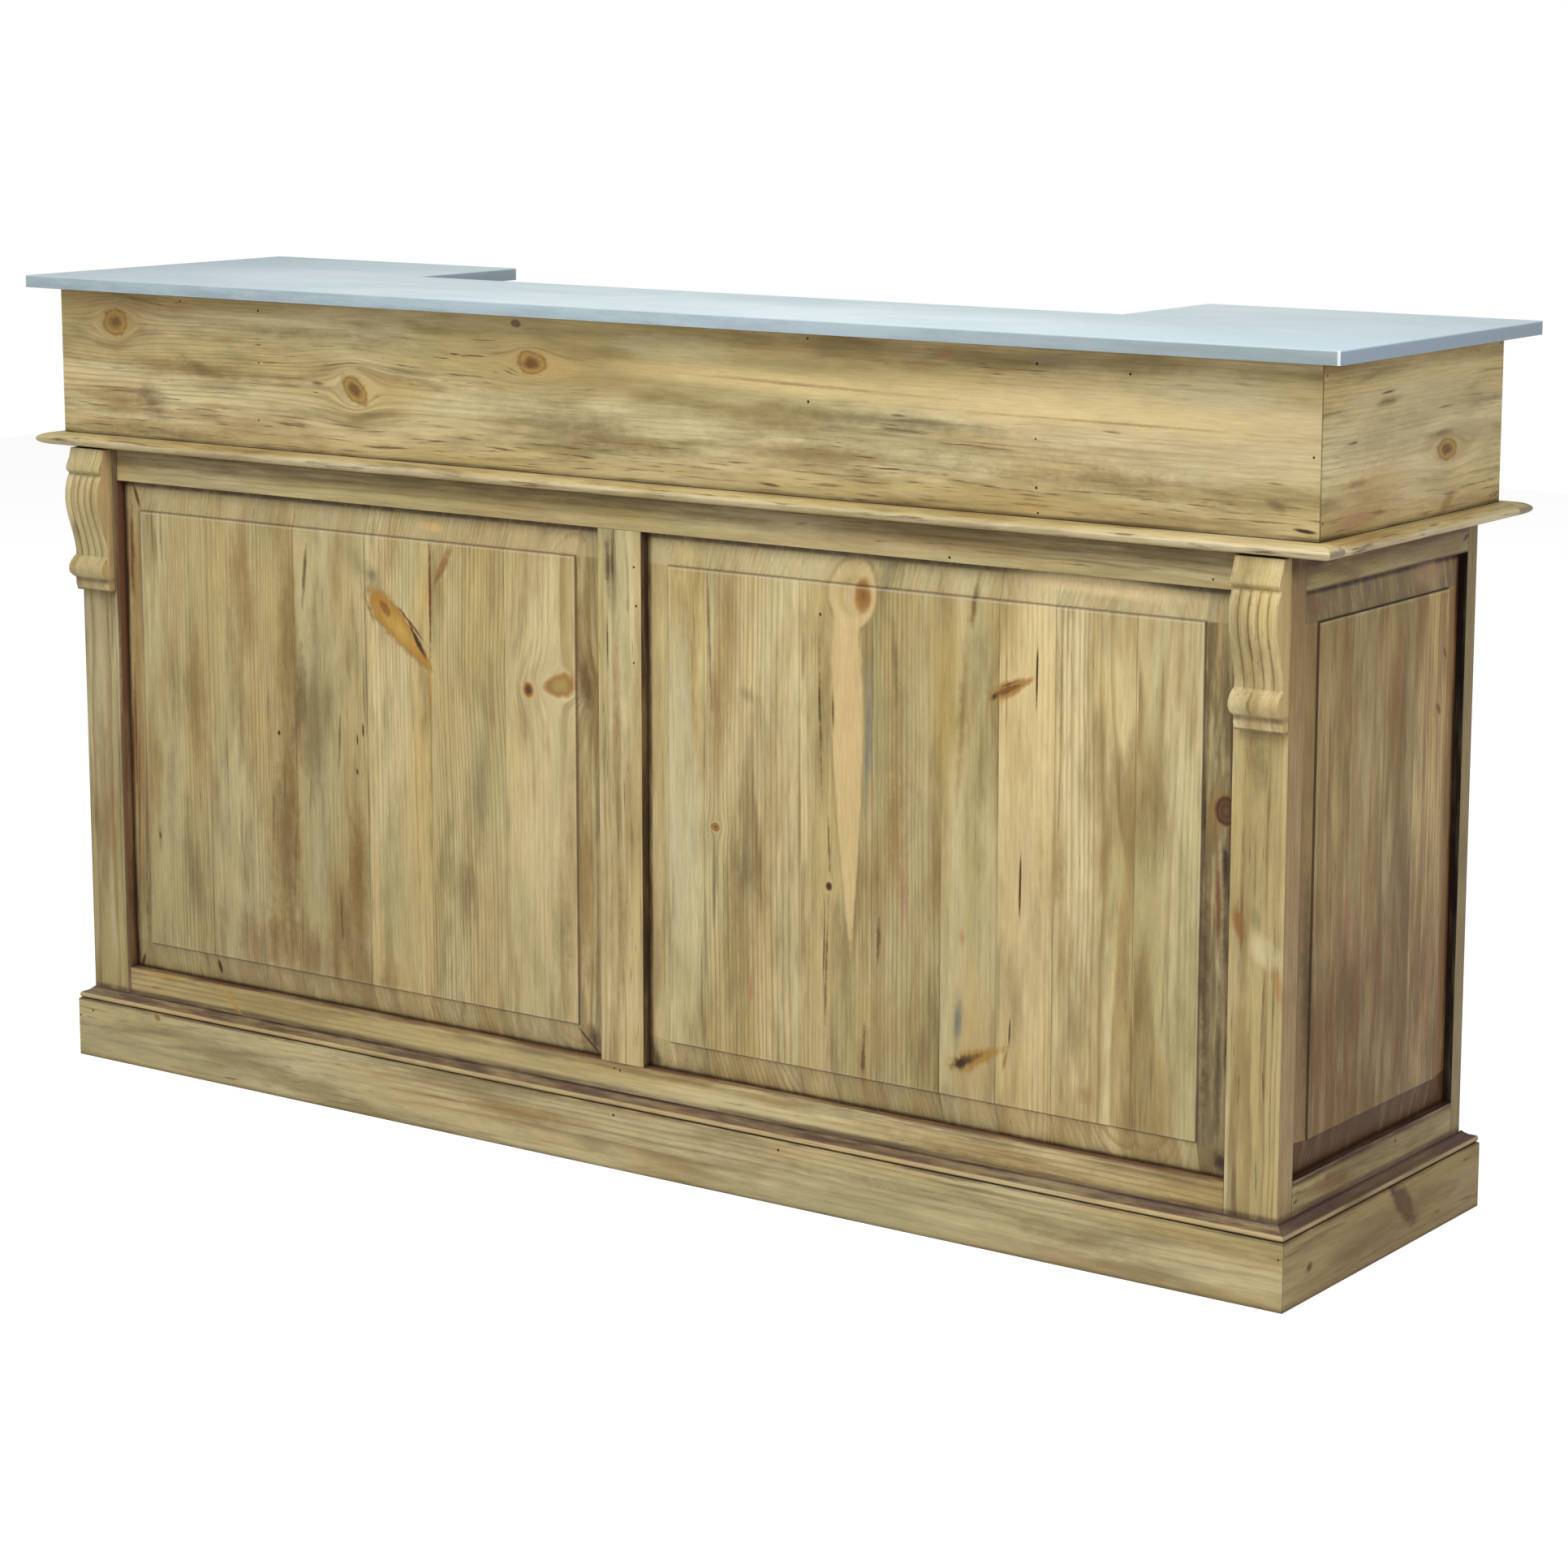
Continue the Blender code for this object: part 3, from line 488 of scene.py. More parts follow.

    # The step round a panel's field: a dark line in it, stain with painted shade, and a pale one beside it,
    # worn and painted as a highlight that is strongest near the top
    if step:
        firstStep, lastStep, bottomStep, topStep = step
        outside = minus(tree, firstStep, across)
        for value, edge in ((across, lastStep), (bottomStep, parts[2]), (parts[2], topStep)):
            outside = maths(tree, "MAXIMUM", outside, minus(tree, value, edge))
        groove = maths(tree, "ABSOLUTE", minus(tree, outside, stepLines["groove"]))
        wornHighlight = maths(tree, "ABSOLUTE", minus(tree, outside, stepLines["wornHighlight"]))
        rubbedHighlight = remap(tree, wornHighlight, 0.0, stepLines["wide"], use["wornHighlight"], 0.0)
        rubbedHighlight = times(tree, rubbedHighlight, remap(tree, parts[2], bottomStep + 0.02, topStep, 0.15, 1.0))
        colour = paint(tree, colour, rubbedHighlight, stepLines["colour"])
        line = remap(tree, groove, stepLines["core"], stepLines["wide"], use["grooved"], 0.0)
        colour = paint(tree, colour, line, use["grooveColour"])

    # Old stain on the faces that point one way, with painted shade on the jambs and undersides among them;
    # then painted shade with dirt where boards meet
    for direction, strength, shade in stains:
        inputs = {0: place["Normal"], 1: direction}
        facing = node(tree, "ShaderNodeVectorMath", inputs, operation="DOT_PRODUCT").outputs["Value"]
        layer = remap(tree, facing, 0.45, 0.8, 0.0, strength)
        layer = times(tree, layer, remap(tree, ragged, 0.3, 0.6, 0.8, 1.0))
        colour = paint(tree, colour, layer, shade)
    # Painted shade, in a dark stain colour, wherever ambient occlusion finds a hollow; dirt gathers there too
    reach = {"Distance": use["hollowShadeReach"]}
    hollow = node(tree, "ShaderNodeAmbientOcclusion", reach, samples=6).outputs["AO"]
    opened = scaled(tree, ragged, -0.16, maths(tree, "ADD", hollow, 0.08))
    shadeAndDirt = remap(tree, opened, 0.2, 0.9, use["hollowShadeAndDirt"], 0.0)
    colour = paint(tree, colour, shadeAndDirt, "stain")

    tree.links.new(colour, shader.inputs["Base Color"])
    sheen = scaled(tree, mottle, 0.16, scaled(tree, shadeAndDirt, 0.2, use["gloss"] - 0.08))
    tree.links.new(sheen, shader.inputs["Roughness"])
    shader.inputs["Specular IOR Level"].default_value = pineSurface["specular"]
    height = scaled(tree, flecks, -1.2, fibre)
    relief = dict(Strength=pineSurface["bumpStrength"], Distance=pineSurface["bumpDistance"], Height=height)
    bump = node(tree, "ShaderNodeBump", relief).outputs[0]
    tree.links.new(bump, shader.inputs["Normal"])
    return material


# Sheet zinc: pale on top and blue-grey on its folded edges, painted as the lit and the shaded faces of
# one sheet, darker still on the right end as painted shade, with painted highlights along the top arris
# and on the folded seam at the right front corner
zincEnd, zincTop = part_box("zinc_top")[1].x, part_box("zinc_top")[1].z


def zincMaterial():
    look = dict(
        light=(226, 240, 243), dull=(204, 223, 229), wiped=(188, 208, 218), scratchAndGlint=(246, 250, 252),
        edge=(184, 202, 210), shaded=(166, 184, 192), side=(150, 168, 184), grimy=(142, 156, 154),
        arrisHighlight=(214, 228, 233), roughness=0.36, metal=0.1,
        arrisFrom=0.0022, arrisTo=0.0006, seamFrom=0.0045, seamTo=0.003,
        bumpStrength=0.12, bumpDistance=0.002,
    )
    material, tree, shader = newMaterial("foldedZinc")
    coordinates = node(tree, "ShaderNodeTexCoord").outputs
    place = coordinates["Object"]
    cloud = noise(tree, stretch(tree, place, (2.1, 4.3, 9.0)), 4.0, 0.6, 0.4)
    colour = blend(tree, remap(tree, cloud, 0.32, 0.62), linear(look["light"]), linear(look["dull"]))
    hair = noise(tree, stretch(tree, place, (3.0, 420.0, 300.0)), 2.0, 0.6)
    colour = paint(tree, colour, remap(tree, hair, 0.6, 0.8, 0.0, 0.35), look["scratchAndGlint"])
    height = node(tree, "ShaderNodeSeparateXYZ", {0: place}).outputs
    ends = remap(tree, maths(tree, "ABSOLUTE", height[0]), 0.62, 1.02, 0.0, 0.62)
    colour = paint(tree, colour, ends, look["wiped"])
    facing = node(tree, "ShaderNodeSeparateXYZ", {0: coordinates["Normal"]}).outputs
    mottled = noise(tree, stretch(tree, place, (9.0, 9.0, 60.0), 3.0), 4.0, 0.65)
    # The folded edges take a painted shade of the top's colour
    rim = blend(tree, remap(tree, mottled, 0.35, 0.65), linear(look["edge"]), linear(look["shaded"]))
    rim = paint(tree, rim, remap(tree, height[0], 0.1, 0.9, 0.0, 0.55), look["grimy"])
    # Painted shade on the edges that face right
    rim = paint(tree, rim, remap(tree, facing[0], 0.5, 0.9, 0.0, 0.85), look["side"])
    # A painted highlight along the top arris
    arrisHighlight = remap(tree, height[2], zincTop - look["arrisFrom"], zincTop - look["arrisTo"], 0.0, 0.8)
    rim = paint(tree, rim, arrisHighlight, look["arrisHighlight"])
    # A painted highlight on the folded seam at the right front corner
    seamHighlight = remap(tree, height[0], zincEnd - look["seamFrom"], zincEnd - look["seamTo"])
    seamHighlight = times(tree, seamHighlight, remap(tree, facing[1], -0.9, -0.5, 1.0, 0.0))
    rim = paint(tree, rim, times(tree, seamHighlight, 0.9), look["scratchAndGlint"])
    # Faces that point up keep the lit colour, the others take the painted shaded one
    colour = blend(tree, remap(tree, facing[2], 0.25, 0.75, 1.0, 0.0), colour, rim)
    tree.links.new(colour, shader.inputs["Base Color"])
    shader.inputs["Metallic"].default_value = look["metal"]
    tree.links.new(scaled(tree, cloud, 0.2, look["roughness"] - 0.1), shader.inputs["Roughness"])
    dents = noise(tree, stretch(tree, place, (14.0, 14.0, 14.0)), 2.0)
    waves = scaled(tree, hair, 0.03, dents)
    relief = {"Strength": look["bumpStrength"], "Distance": look["bumpDistance"], "Height": waves}
    bump = node(tree, "ShaderNodeBump", relief).outputs[0]
    tree.links.new(bump, shader.inputs["Normal"])
    return material


def ironMaterial():
    look = dict(dark=(34, 28, 26), rusty=(84, 54, 38), grain=900.0, metal=0.4, roughness=0.6)
    material, tree, shader = newMaterial("darkIron")
    place = node(tree, "ShaderNodeTexCoord").outputs["Object"]
    rust = noise(tree, stretch(tree, place, (look["grain"],) * 3), 3.0, 0.6)
    colour = blend(tree, remap(tree, rust, 0.4, 0.7), linear(look["dark"]), linear(look["rusty"]))
    tree.links.new(colour, shader.inputs["Base Color"])
    shader.inputs["Metallic"].default_value = look["metal"]
    shader.inputs["Roughness"].default_value = look["roughness"]
    return material


# Edges from sharpAngle on are eased; angles are in degrees. A mitre's upright faces are known by
# their normals: mitre is their range along x, and level the most that they point up or down
easing = dict(
    flatAngle=0.4, sharpAngle=34, smoothAngle=40, mitre=(0.6, 0.8), level=0.01, segments=2, profile=0.6,
)


# A copy of a CAD node with its corners eased, apart from those along a mitre
def easedCopy(name, width):
    bm = bmesh.new()
    bm.from_mesh(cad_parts[name].data)
    bmesh.ops.remove_doubles(bm, verts=bm.verts, dist=0.00001)
    flat = math.radians(easing["flatAngle"])
    bmesh.ops.dissolve_limit(bm, angle_limit=flat, verts=bm.verts, edges=bm.edges)
    least, most = easing["mitre"]
    sharp = []
    for edge in bm.edges:
        if len(edge.link_faces) != 2 or edge.calc_face_angle(0.0) < math.radians(easing["sharpAngle"]):
            continue
        normals = [side.normal for side in edge.link_faces]
        if not any(least < abs(normal.x) < most and abs(normal.z) < easing["level"] for normal in normals):
            sharp.append(edge)
    bmesh.ops.bevel(
        bm, geom=sharp, offset=width, segments=easing["segments"], profile=easing["profile"],
        affect="EDGES", clamp_overlap=True,
    )
    mesh = bpy.data.meshes.new(name + "Finished")
    bm.to_mesh(mesh)
    bm.free()
    mesh.shade_smooth()
    mesh.set_sharp_from_angle(angle=math.radians(easing["smoothAngle"]))
    return addObject(name + "Finished", mesh)


def finish(name, material, width=0.0007):
    piece = easedCopy(name, width)
    piece.data.materials.clear()
    piece.data.materials.append(material)
    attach(piece, "root")
    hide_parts(name)
    return piece


# A mark between two pixels of the photograph, wide millimetres across
def spot(kind, startX, startY, endX, endY, wide, **changes):
    return dict(kind=dict(markKinds[kind], **changes), start=(startX, startY), end=(endX, endY), wide=wide)


knot, ovalKnot, leaf, pin, halo, flame, gold, pale, tan, smudge, green, shade, streak, crack, rosy, dark = (
    partial(spot, kind) for kind in markKinds
)


# Stain, wear, painted shade and painted highlights between two heights or places on an axis.
# patchy says how far the grain breaks it up, cover how much of it stays, and within keeps it to
# a run of another axis
def band(axis, start, stop, colour, strength, soft=0.0015, patchy=0.5, cover=0.5, dashed=False, within=None):
    extent = dict(axis=axis, start=start, stop=stop, cover=cover, dashed=dashed, within=within)
    return dict(extent, colour=colour, strength=strength, soft=soft, patchy=patchy)


# The same stain on the faces that point left and right
def bothEnds(strength, colour):
    return ((1, 0, 0), strength, colour), ((-1, 0, 0), strength, colour)


# Marks as places and sizes on a board, in metres along and across its grain
def placed(marks, grain, face, level):
    acrossAxis = thirdAxis(grain, face)
    made = []
    for mark in marks:
        ends = [fromPhoto(mark[key], face, level) for key in ("start", "end")]
        along = [end[axisIndex[grain]] for end in ends]
        across = [end[axisIndex[acrossAxis]] for end in ends]
        length = math.hypot(along[1] - along[0], across[1] - across[0]) / 2
        tilt = math.atan2(across[1] - across[0], along[1] - along[0])
        wide = mark["wide"] / 2000  # half of it, in metres
        reach = (
            math.hypot(length * math.cos(tilt), wide * math.sin(tilt)),
            math.hypot(length * math.sin(tilt), wide * math.cos(tilt)),
        )
        middle = (sum(along) / 2, sum(across) / 2)
        made.append(dict(kind=mark["kind"], at=middle, size=(length, wide), reach=reach, tilt=tilt))
    return made


# The planks of a board from their first edges, given as pixels of the photograph
def plankRow(planks, grain, face, level, first):
    acrossAxis = thirdAxis(grain, face)
    made = []
    for start, tone, warm in planks:
        begin = fromPhoto(start, face, level)[axisIndex[acrossAxis]] if start else first
        made.append(dict(start=begin, tone=tone, warm=warm))
    return made


# A pine piece, with a material of its own named after the piece
def finishWood(name, grain, face, look, seed, marks=None, planks=(), width=0.0007, **settings):
    low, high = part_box(name)
    level = low.y if face == "y" else high[axisIndex[face]]
    acrossAxis = thirdAxis(grain, face)
    spots = placed((marks or {}).values(), grain, face, level)
    row = plankRow(planks, grain, face, level, low[axisIndex[acrossAxis]])
    settings.update(planks=row, marks=spots, seed=seed)
    material = woodMaterial(name + "Pine", grain, face, look, (low, high), **settings)
    return finish(name, material, width)


# Fascia: level boards, smudged, with three knots and a pale flame along the front
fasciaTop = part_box("fascia_front")[1].z
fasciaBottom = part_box("fascia_front")[0].z
fasciaBands = (
    # Painted shadow of the zinc's overhang along the top, with stain
    band("z", fasciaTop - 0.022, fasciaTop, (120, 104, 72), 0.4, soft=0.009, patchy=0.5),
    band("z", fasciaBottom + 0.004, fasciaBottom + 0.026, (206, 178, 120), 0.4, soft=0.004, patchy=0.6),
    band("z", fasciaBottom, fasciaBottom + 0.004, "umber", 0.5, soft=0.0012, patchy=0.85),
    band("z", fasciaBottom, fasciaBottom + 0.050, "bark", 0.85, soft=0.024, patchy=1.0,
         cover=0.17, dashed=True),
)
fasciaFront = dict(
    seed=3,
    tone=1.08,
    ringDark=0.3,
    pale=0.95,
    smudge=0.65,
    streak=0.7,
    flecks=0.9,
    bands=fasciaBands,
    marks=dict(
        leftKnotHalo=halo(108, 400, 180, 396, 66),
        leftKnot=ovalKnot(124, 398, 162, 396, 44),
        slantedKnotHalo=halo(395, 470, 540, 492, 60),
        slantedKnot=ovalKnot(420, 462, 455, 500, 36),
        middleKnotHalo=halo(600, 440, 730, 458, 62),
        middleKnot=ovalKnot(634, 443, 677, 451, 36),
        middleHeart=streak(640, 447, 662, 450, 14, colour="rust", strength=0.8),
        greyLeft=smudge(80, 440, 420, 470, 26, strength=0.5),
        greyLeftLow=smudge(80, 520, 330, 545, 24),
        pinUnderTop=pin(628, 397, 643, 400, 12, colour="bark", strength=0.7),
        paleRight=pale(1150, 500, 1800, 560, 150, colour=(214, 196, 156), strength=0.6),
        shadeAbove=shade(900, 440, 1250, 466, 26, strength=0.3),
        shadeBelow=smudge(760, 500, 1500, 584, 60, strength=0.55),
        leftFlame=flame(690, 444, 1240, 500, 38, colour=(226, 200, 142), strength=1.0, soft=0.8),
        rightFlame=flame(960, 472, 1720, 542, 58, colour=(226, 202, 148), strength=1.0, soft=0.8),
        flameLine=tan(760, 452, 1250, 500, 6, strength=0.7),
        flameLineB=tan(1100, 500, 1600, 540, 5, strength=0.7),
        leftTan=tan(100, 480, 200, 510, 70),
        leftSmudge=smudge(166, 468, 214, 522, 60, colour=(122, 100, 64), strength=0.95),
        leftStripe=smudge(200, 430, 300, 480, 30),
        upperStripe=smudge(240, 400, 520, 424, 24),
        lowerShade=smudge(500, 480, 860, 545, 60, strength=0.5),
        lowerShadeEnd=smudge(660, 520, 900, 570, 40, strength=0.45),
        topShade=shade(960, 412, 1300, 450, 22, strength=0.25),
        underFlame=shade(900, 498, 1300, 542, 22, strength=0.6),
        paleAbove=pale(1240, 436, 1380, 448, 24, colour=(164, 150, 112), strength=0.7),
        rightLow=smudge(1160, 566, 1580, 624, 46, strength=0.7),
        paleTop=pale(740, 418, 920, 440, 44, colour=(208, 194, 152), strength=0.8),
        paleTopRight=pale(1400, 472, 1600, 492, 46, colour=(208, 194, 152), strength=0.8),
        lowShade=smudge(880, 546, 1120, 574, 34, colour=(140, 116, 70), strength=0.7),
        rightStreaks=streak(1552, 618, 1592, 628, 18, rough=2.0),
        tornA=streak(1095, 511, 1118, 513, 5),
        tornB=streak(1355, 531, 1384, 534, 4),
        tornC=streak(930, 594, 966, 600, 5),
        tornD=streak(1052, 608, 1092, 613, 4),
        tornE=streak(1556, 595, 1588, 598, 4),
        tornF=streak(700, 560, 738, 566, 4),
        tornG=streak(590, 549, 642, 557, 4),
        tornH=streak(400, 521, 452, 528, 4),
        tornI=streak(230, 501, 290, 511, 4),
        brownFleck=streak(380, 471, 402, 473, 7, colour="rust"),
        rosyFleck=rosy(1150, 434, 1180, 438, 16),
        endSplit=crack(1592, 652, 1626, 658, 6),
    ),
)
finishWood("fascia_front", "x", "y", "frame", **fasciaFront)
sideFascia = dict(
    seed=8,
    tone=1.16,
    ringDark=0.3,
    smudge=0.65,
    streak=0.8,
    pale=0.95,
    bands=(
        *fasciaBands,
        band("y", -0.2250, -0.2215, "umber", 0.6, soft=0.0008, patchy=0.3),  # the joint at its front edge
    ),
    marks=dict(
        paleAll=pale(1600, 560, 1880, 520, 260, colour=(214, 196, 158), strength=0.5),
        lowTan=tan(1640, 620, 1740, 600, 110, colour=(176, 138, 84)),
        upperKnot=ovalKnot(1768, 554, 1798, 552, 32),
        upperHeart=streak(1776, 556, 1790, 552, 10, colour="rust"),
        lowerKnot=leaf(1772, 634, 1794, 604, 20, colour="tan", soft=0.6, strength=0.6),
        topShade=shade(1655, 468, 1740, 448, 24),
        middleSmudge=smudge(1640, 560, 1780, 500, 50, strength=0.4),
        rosyPatch=rosy(1640, 650, 1700, 630, 40, strength=0.3),
        smearA=smudge(1690, 500, 1730, 489, 14, strength=0.9),
        smearB=smudge(1668, 470, 1700, 463, 10, strength=0.9),
        smearC=smudge(1752, 540, 1800, 528, 12, strength=0.8),
        smearD=smudge(1650, 602, 1690, 592, 12, strength=0.8),
        tornD=streak(1700, 486, 1722, 480, 4),
        tornE=streak(1660, 548, 1676, 544, 4),
        tornA=streak(1688, 633, 1712, 629, 8, colour="rust"),
        tornB=streak(1690, 655, 1730, 645, 5),
        tornC=streak(1770, 503, 1795, 497, 4),
    ),
)
finishWood("fascia_right", "y", "x", "frame", **sideFascia)
finishWood("fascia_left", "y", "x", "frame", seed=9, smudge=0.7, bands=fasciaBands)
print("fascia done")

# Top: one sheet folded over the core boards
finish("zinc_top", zincMaterial(), width=0.0005)
for index, name in enumerate(("top_core_front", "top_core_left", "top_core_right")):
    grain = "x" if name.endswith("front") else "y"
    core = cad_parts[name]
    core.data.materials.clear()
    material = woodMaterial(name + "Pine", grain, "z", "inner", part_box(name), seed=12 + index)
    core.data.materials.append(material)
print("top done")

# Ledge: rounded strips, worn pale along the nose with a painted highlight there, and painted shade
# along the underside; worktop inside them
ledgeLow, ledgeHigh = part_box("ledge_front")
ledgeBands = (
    # Painted shade along the underside
    band("z", ledgeLow.z - 0.001, ledgeLow.z + 0.0022, "umber", 0.7, soft=0.001, patchy=0.4),
    # The nose, worn pale and lit by a painted highlight
    band("z", ledgeLow.z + 0.004, ledgeLow.z + 0.013, (216, 204, 174), 0.5, soft=0.003, patchy=0.6),
    band("z", ledgeLow.z, ledgeHigh.z - 0.002, "bark", 0.8, patchy=1.0, cover=0.16, dashed=True),
)
for index, name in enumerate(("ledge_front", "ledge_rear", "ledge_left", "ledge_right")):
    settings = dict(seed=20 + index, width=0.0003, bands=ledgeBands, smudge=0.7, tan=0.65, streak=0.7)
    if name.endswith(("front", "rear")):
        endGrain = (((1, 0, 0), 0.9, (134, 120, 104)), ((-1, 0, 0), 0.6, (130, 118, 92)))
        finishWood(name, "x", "z", "moulding", stains=endGrain, **settings)
    else:
        finishWood(name, "y", "z", "moulding", tone=1.06, **settings)
for index, name in enumerate(("worktop_front_board", "worktop_rear_board")):
    finishWood(name, "x", "z", "inner", seed=30 + index)
print("ledge and worktop done")

# Front frame: upright posts and stile, level rails, dark stain and painted shade left in the openings
postLow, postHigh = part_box("front_post_right")
stileLow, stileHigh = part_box("centre_stile")
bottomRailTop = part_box("front_bottom_rail")[1].z
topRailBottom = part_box("front_top_rail")[0].z
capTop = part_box("plinth_cap_front")[1].z
footStain = band("z", capTop - 0.004, capTop + 0.006, "plum", 0.75, soft=0.003, patchy=0.5)
# The jambs that face into the openings: dark stain with painted shade
jambLeft = ((1, 0, 0), 0.95, "stain")
jambRight = ((-1, 0, 0), 0.95, "stain")
rightPost = dict(
    seed=41,
    pale=1.0,
    honey=0.25,
    tone=0.98,
    smudge=0.35,
    lightFalloff=0.06,
    stains=(jambRight, ((1, 0, 0), 0.62, (92, 58, 22))),
    bands=(
        # A pale band down the right corner: wear, with a painted highlight on the edge
        band("x", postHigh.x - 0.005, postHigh.x + 0.001, (208, 188, 140), 0.45, soft=0.0015, patchy=0.6),
        footStain,
        band("z", postHigh.z - 0.20, postHigh.z - 0.035, (190, 156, 104), 0.6, soft=0.03, patchy=0.5),
        # Painted shade under the ledge at the post's top, with dark stain
        band("z", postHigh.z - 0.020, postHigh.z + 0.001, (50, 40, 34), 0.85, soft=0.014, patchy=0.3),
    ),
    marks=dict(
        # The corbel's shadow, painted below it
        corbelShadow=smudge(1550, 870, 1551, 1010, 40, colour=(110, 92, 56), strength=0.75),
        greyLobe=shade(1538, 1112, 1554, 1150, 26),
        paleCurve=pale(1540, 1150, 1580, 1200, 40),
        orangeWedge=leaf(1568, 1180, 1580, 1250, 14, colour=(174, 128, 72), strength=0.7, soft=0.7),
        orangeLobe=leaf(1520, 1108, 1532, 1166, 20, colour=(146, 100, 48), strength=0.9, soft=0.7),
    ),
)
finishWood("front_post_right", "z", "y", "frame", **rightPost)
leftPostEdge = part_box("front_post_left")[1].x
leftPost = dict(
    seed=40, smudge=0.5, green=0.7, tan=0.5, tone=0.81,
    # Dark stain with painted shade on the jamb and along the edge beside the opening
    stains=(((1, 0, 0), 0.8, (100, 66, 46)),),
    bands=(footStain, band("x", leftPostEdge - 0.006, postHigh.x, (88, 58, 42), 0.85, patchy=0.5)),
)
finishWood("front_post_left", "z", "y", "frame", **leftPost)
stile = dict(
    seed=42,
    tone=1.04,
    smudge=0.4,
    stains=(jambLeft, jambRight),
    bands=(footStain,),
    marks=dict(
        tornTop=dark(747, 640, 751, 745, 14, colour=(84, 56, 40), solid=True, strength=0.85),
        tornTopSide=streak(754, 648, 755, 735, 6),
        tornBelow=streak(748, 750, 749, 830, 4),
        warmLine=tan(758, 700, 762, 1000, 18),
        greenLine=green(770, 720, 772, 900, 24),
        lowerLine=smudge(766, 1020, 768, 1250, 20),
    ),
)
finishWood("centre_stile", "z", "y", "frame", **stile)
topRail = dict(
    seed=43,
    smudge=0.45,
    # Painted shade on the underside
    stains=(((0, 0, -1), 0.95, "stain"),),
    bands=(
        # Painted shadow of the ledge over the upper part, with olive stain
        band("z", topRailBottom + 0.020, topRailBottom + 0.046, (104, 86, 56), 0.66, soft=0.009, patchy=0.45),
        band("z", topRailBottom + 0.001, topRailBottom + 0.012, (198, 184, 134), 0.4, soft=0.003, patchy=0.5),
        band("x", -0.8760, -0.8735, "bark", 0.7, soft=0.0008, patchy=0.2),  # the joint beside the left corbel
    ),
)
finishWood("front_top_rail", "x", "y", "frame", **topRail)
bottomRail = dict(
    seed=44,
    tone=0.97,
    smudge=0.35,
    tan=0.6,
    stains=(((0, 0, 1), 0.7, (84, 52, 38)),),
    bands=(
        band("z", bottomRailTop - 0.0026, bottomRailTop + 0.001, (112, 80, 60), 0.7, soft=0.0010, patchy=0.7),
        band("z", bottomRailTop - 0.012, bottomRailTop - 0.002, "umber", 0.45, soft=0.004, patchy=0.95),
        footStain,
    ),
    marks=dict(
        orangeEnd=gold(172, 1199, 232, 1207, 12, colour=(186, 130, 62)),
        oliveEye=smudge(185, 1216, 202, 1218, 6),
        resin=leaf(268, 1208, 298, 1250, 8, colour="gold", taper=0.4, strength=0.8),
        brownA=tan(430, 1228, 520, 1248, 20),
        brownB=tan(900, 1345, 1010, 1372, 20),
        brownRight=tan(1000, 1370, 1460, 1476, 40),
        oliveRight=smudge(1080, 1400, 1300, 1450, 16),
    ),
)
finishWood("front_bottom_rail", "x", "y", "frame", **bottomRail)

# Raised panels: upright planks glued side by side, with a stained border round the field
border = 0.040
panelFrame = dict(
    left=(leftPostEdge, stileLow.x, bottomRailTop, topRailBottom),
    right=(stileHigh.x, postLow.x, bottomRailTop, topRailBottom),
    side=(postHigh.y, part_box("rear_post_right")[0].y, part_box("side_bottom_rail_right")[1].z, topRailBottom),
)


# How far the dark line reaches in from the frame, at the first and last edge, the foot and the top
lineReach = dict(first=0.006, last=0.005, foot=0.003, top=0.004, under=0.004)


# The border's four sides in their own colours, and a dark line where it meets the frame: stain, with
# painted shade under the frame's edge
def borderBands(opening, axis, left, right, bottom, top, line=0.8):
    first, last, low, high = opening
    sides = ((axis, first, first + border, left), (axis, last - border, last, right),
             ("z", low, low + border, bottom), ("z", high - border, high, top))
    made = []
    for way, start, stop, (colour, strength, patchy) in sides:
        made.append(band(way, start, stop, colour, strength, soft=0.0008, patchy=patchy))
    lines = ((axis, first, first + lineReach["first"]), (axis, last - lineReach["last"], last),
             ("z", low, low + lineReach["foot"]), ("z", high - lineReach["top"], high))
    for way, start, stop in lines:
        patchy = 0.2 if way == "z" else 0.6
        start -= lineReach["under"]
        made.append(band(way, start, stop, (66, 38, 26), line, soft=0.0025, patchy=patchy))
    return made


def fieldStep(opening):
    first, last, low, high = opening
    return (first + border, last - border, low + border, high - border)


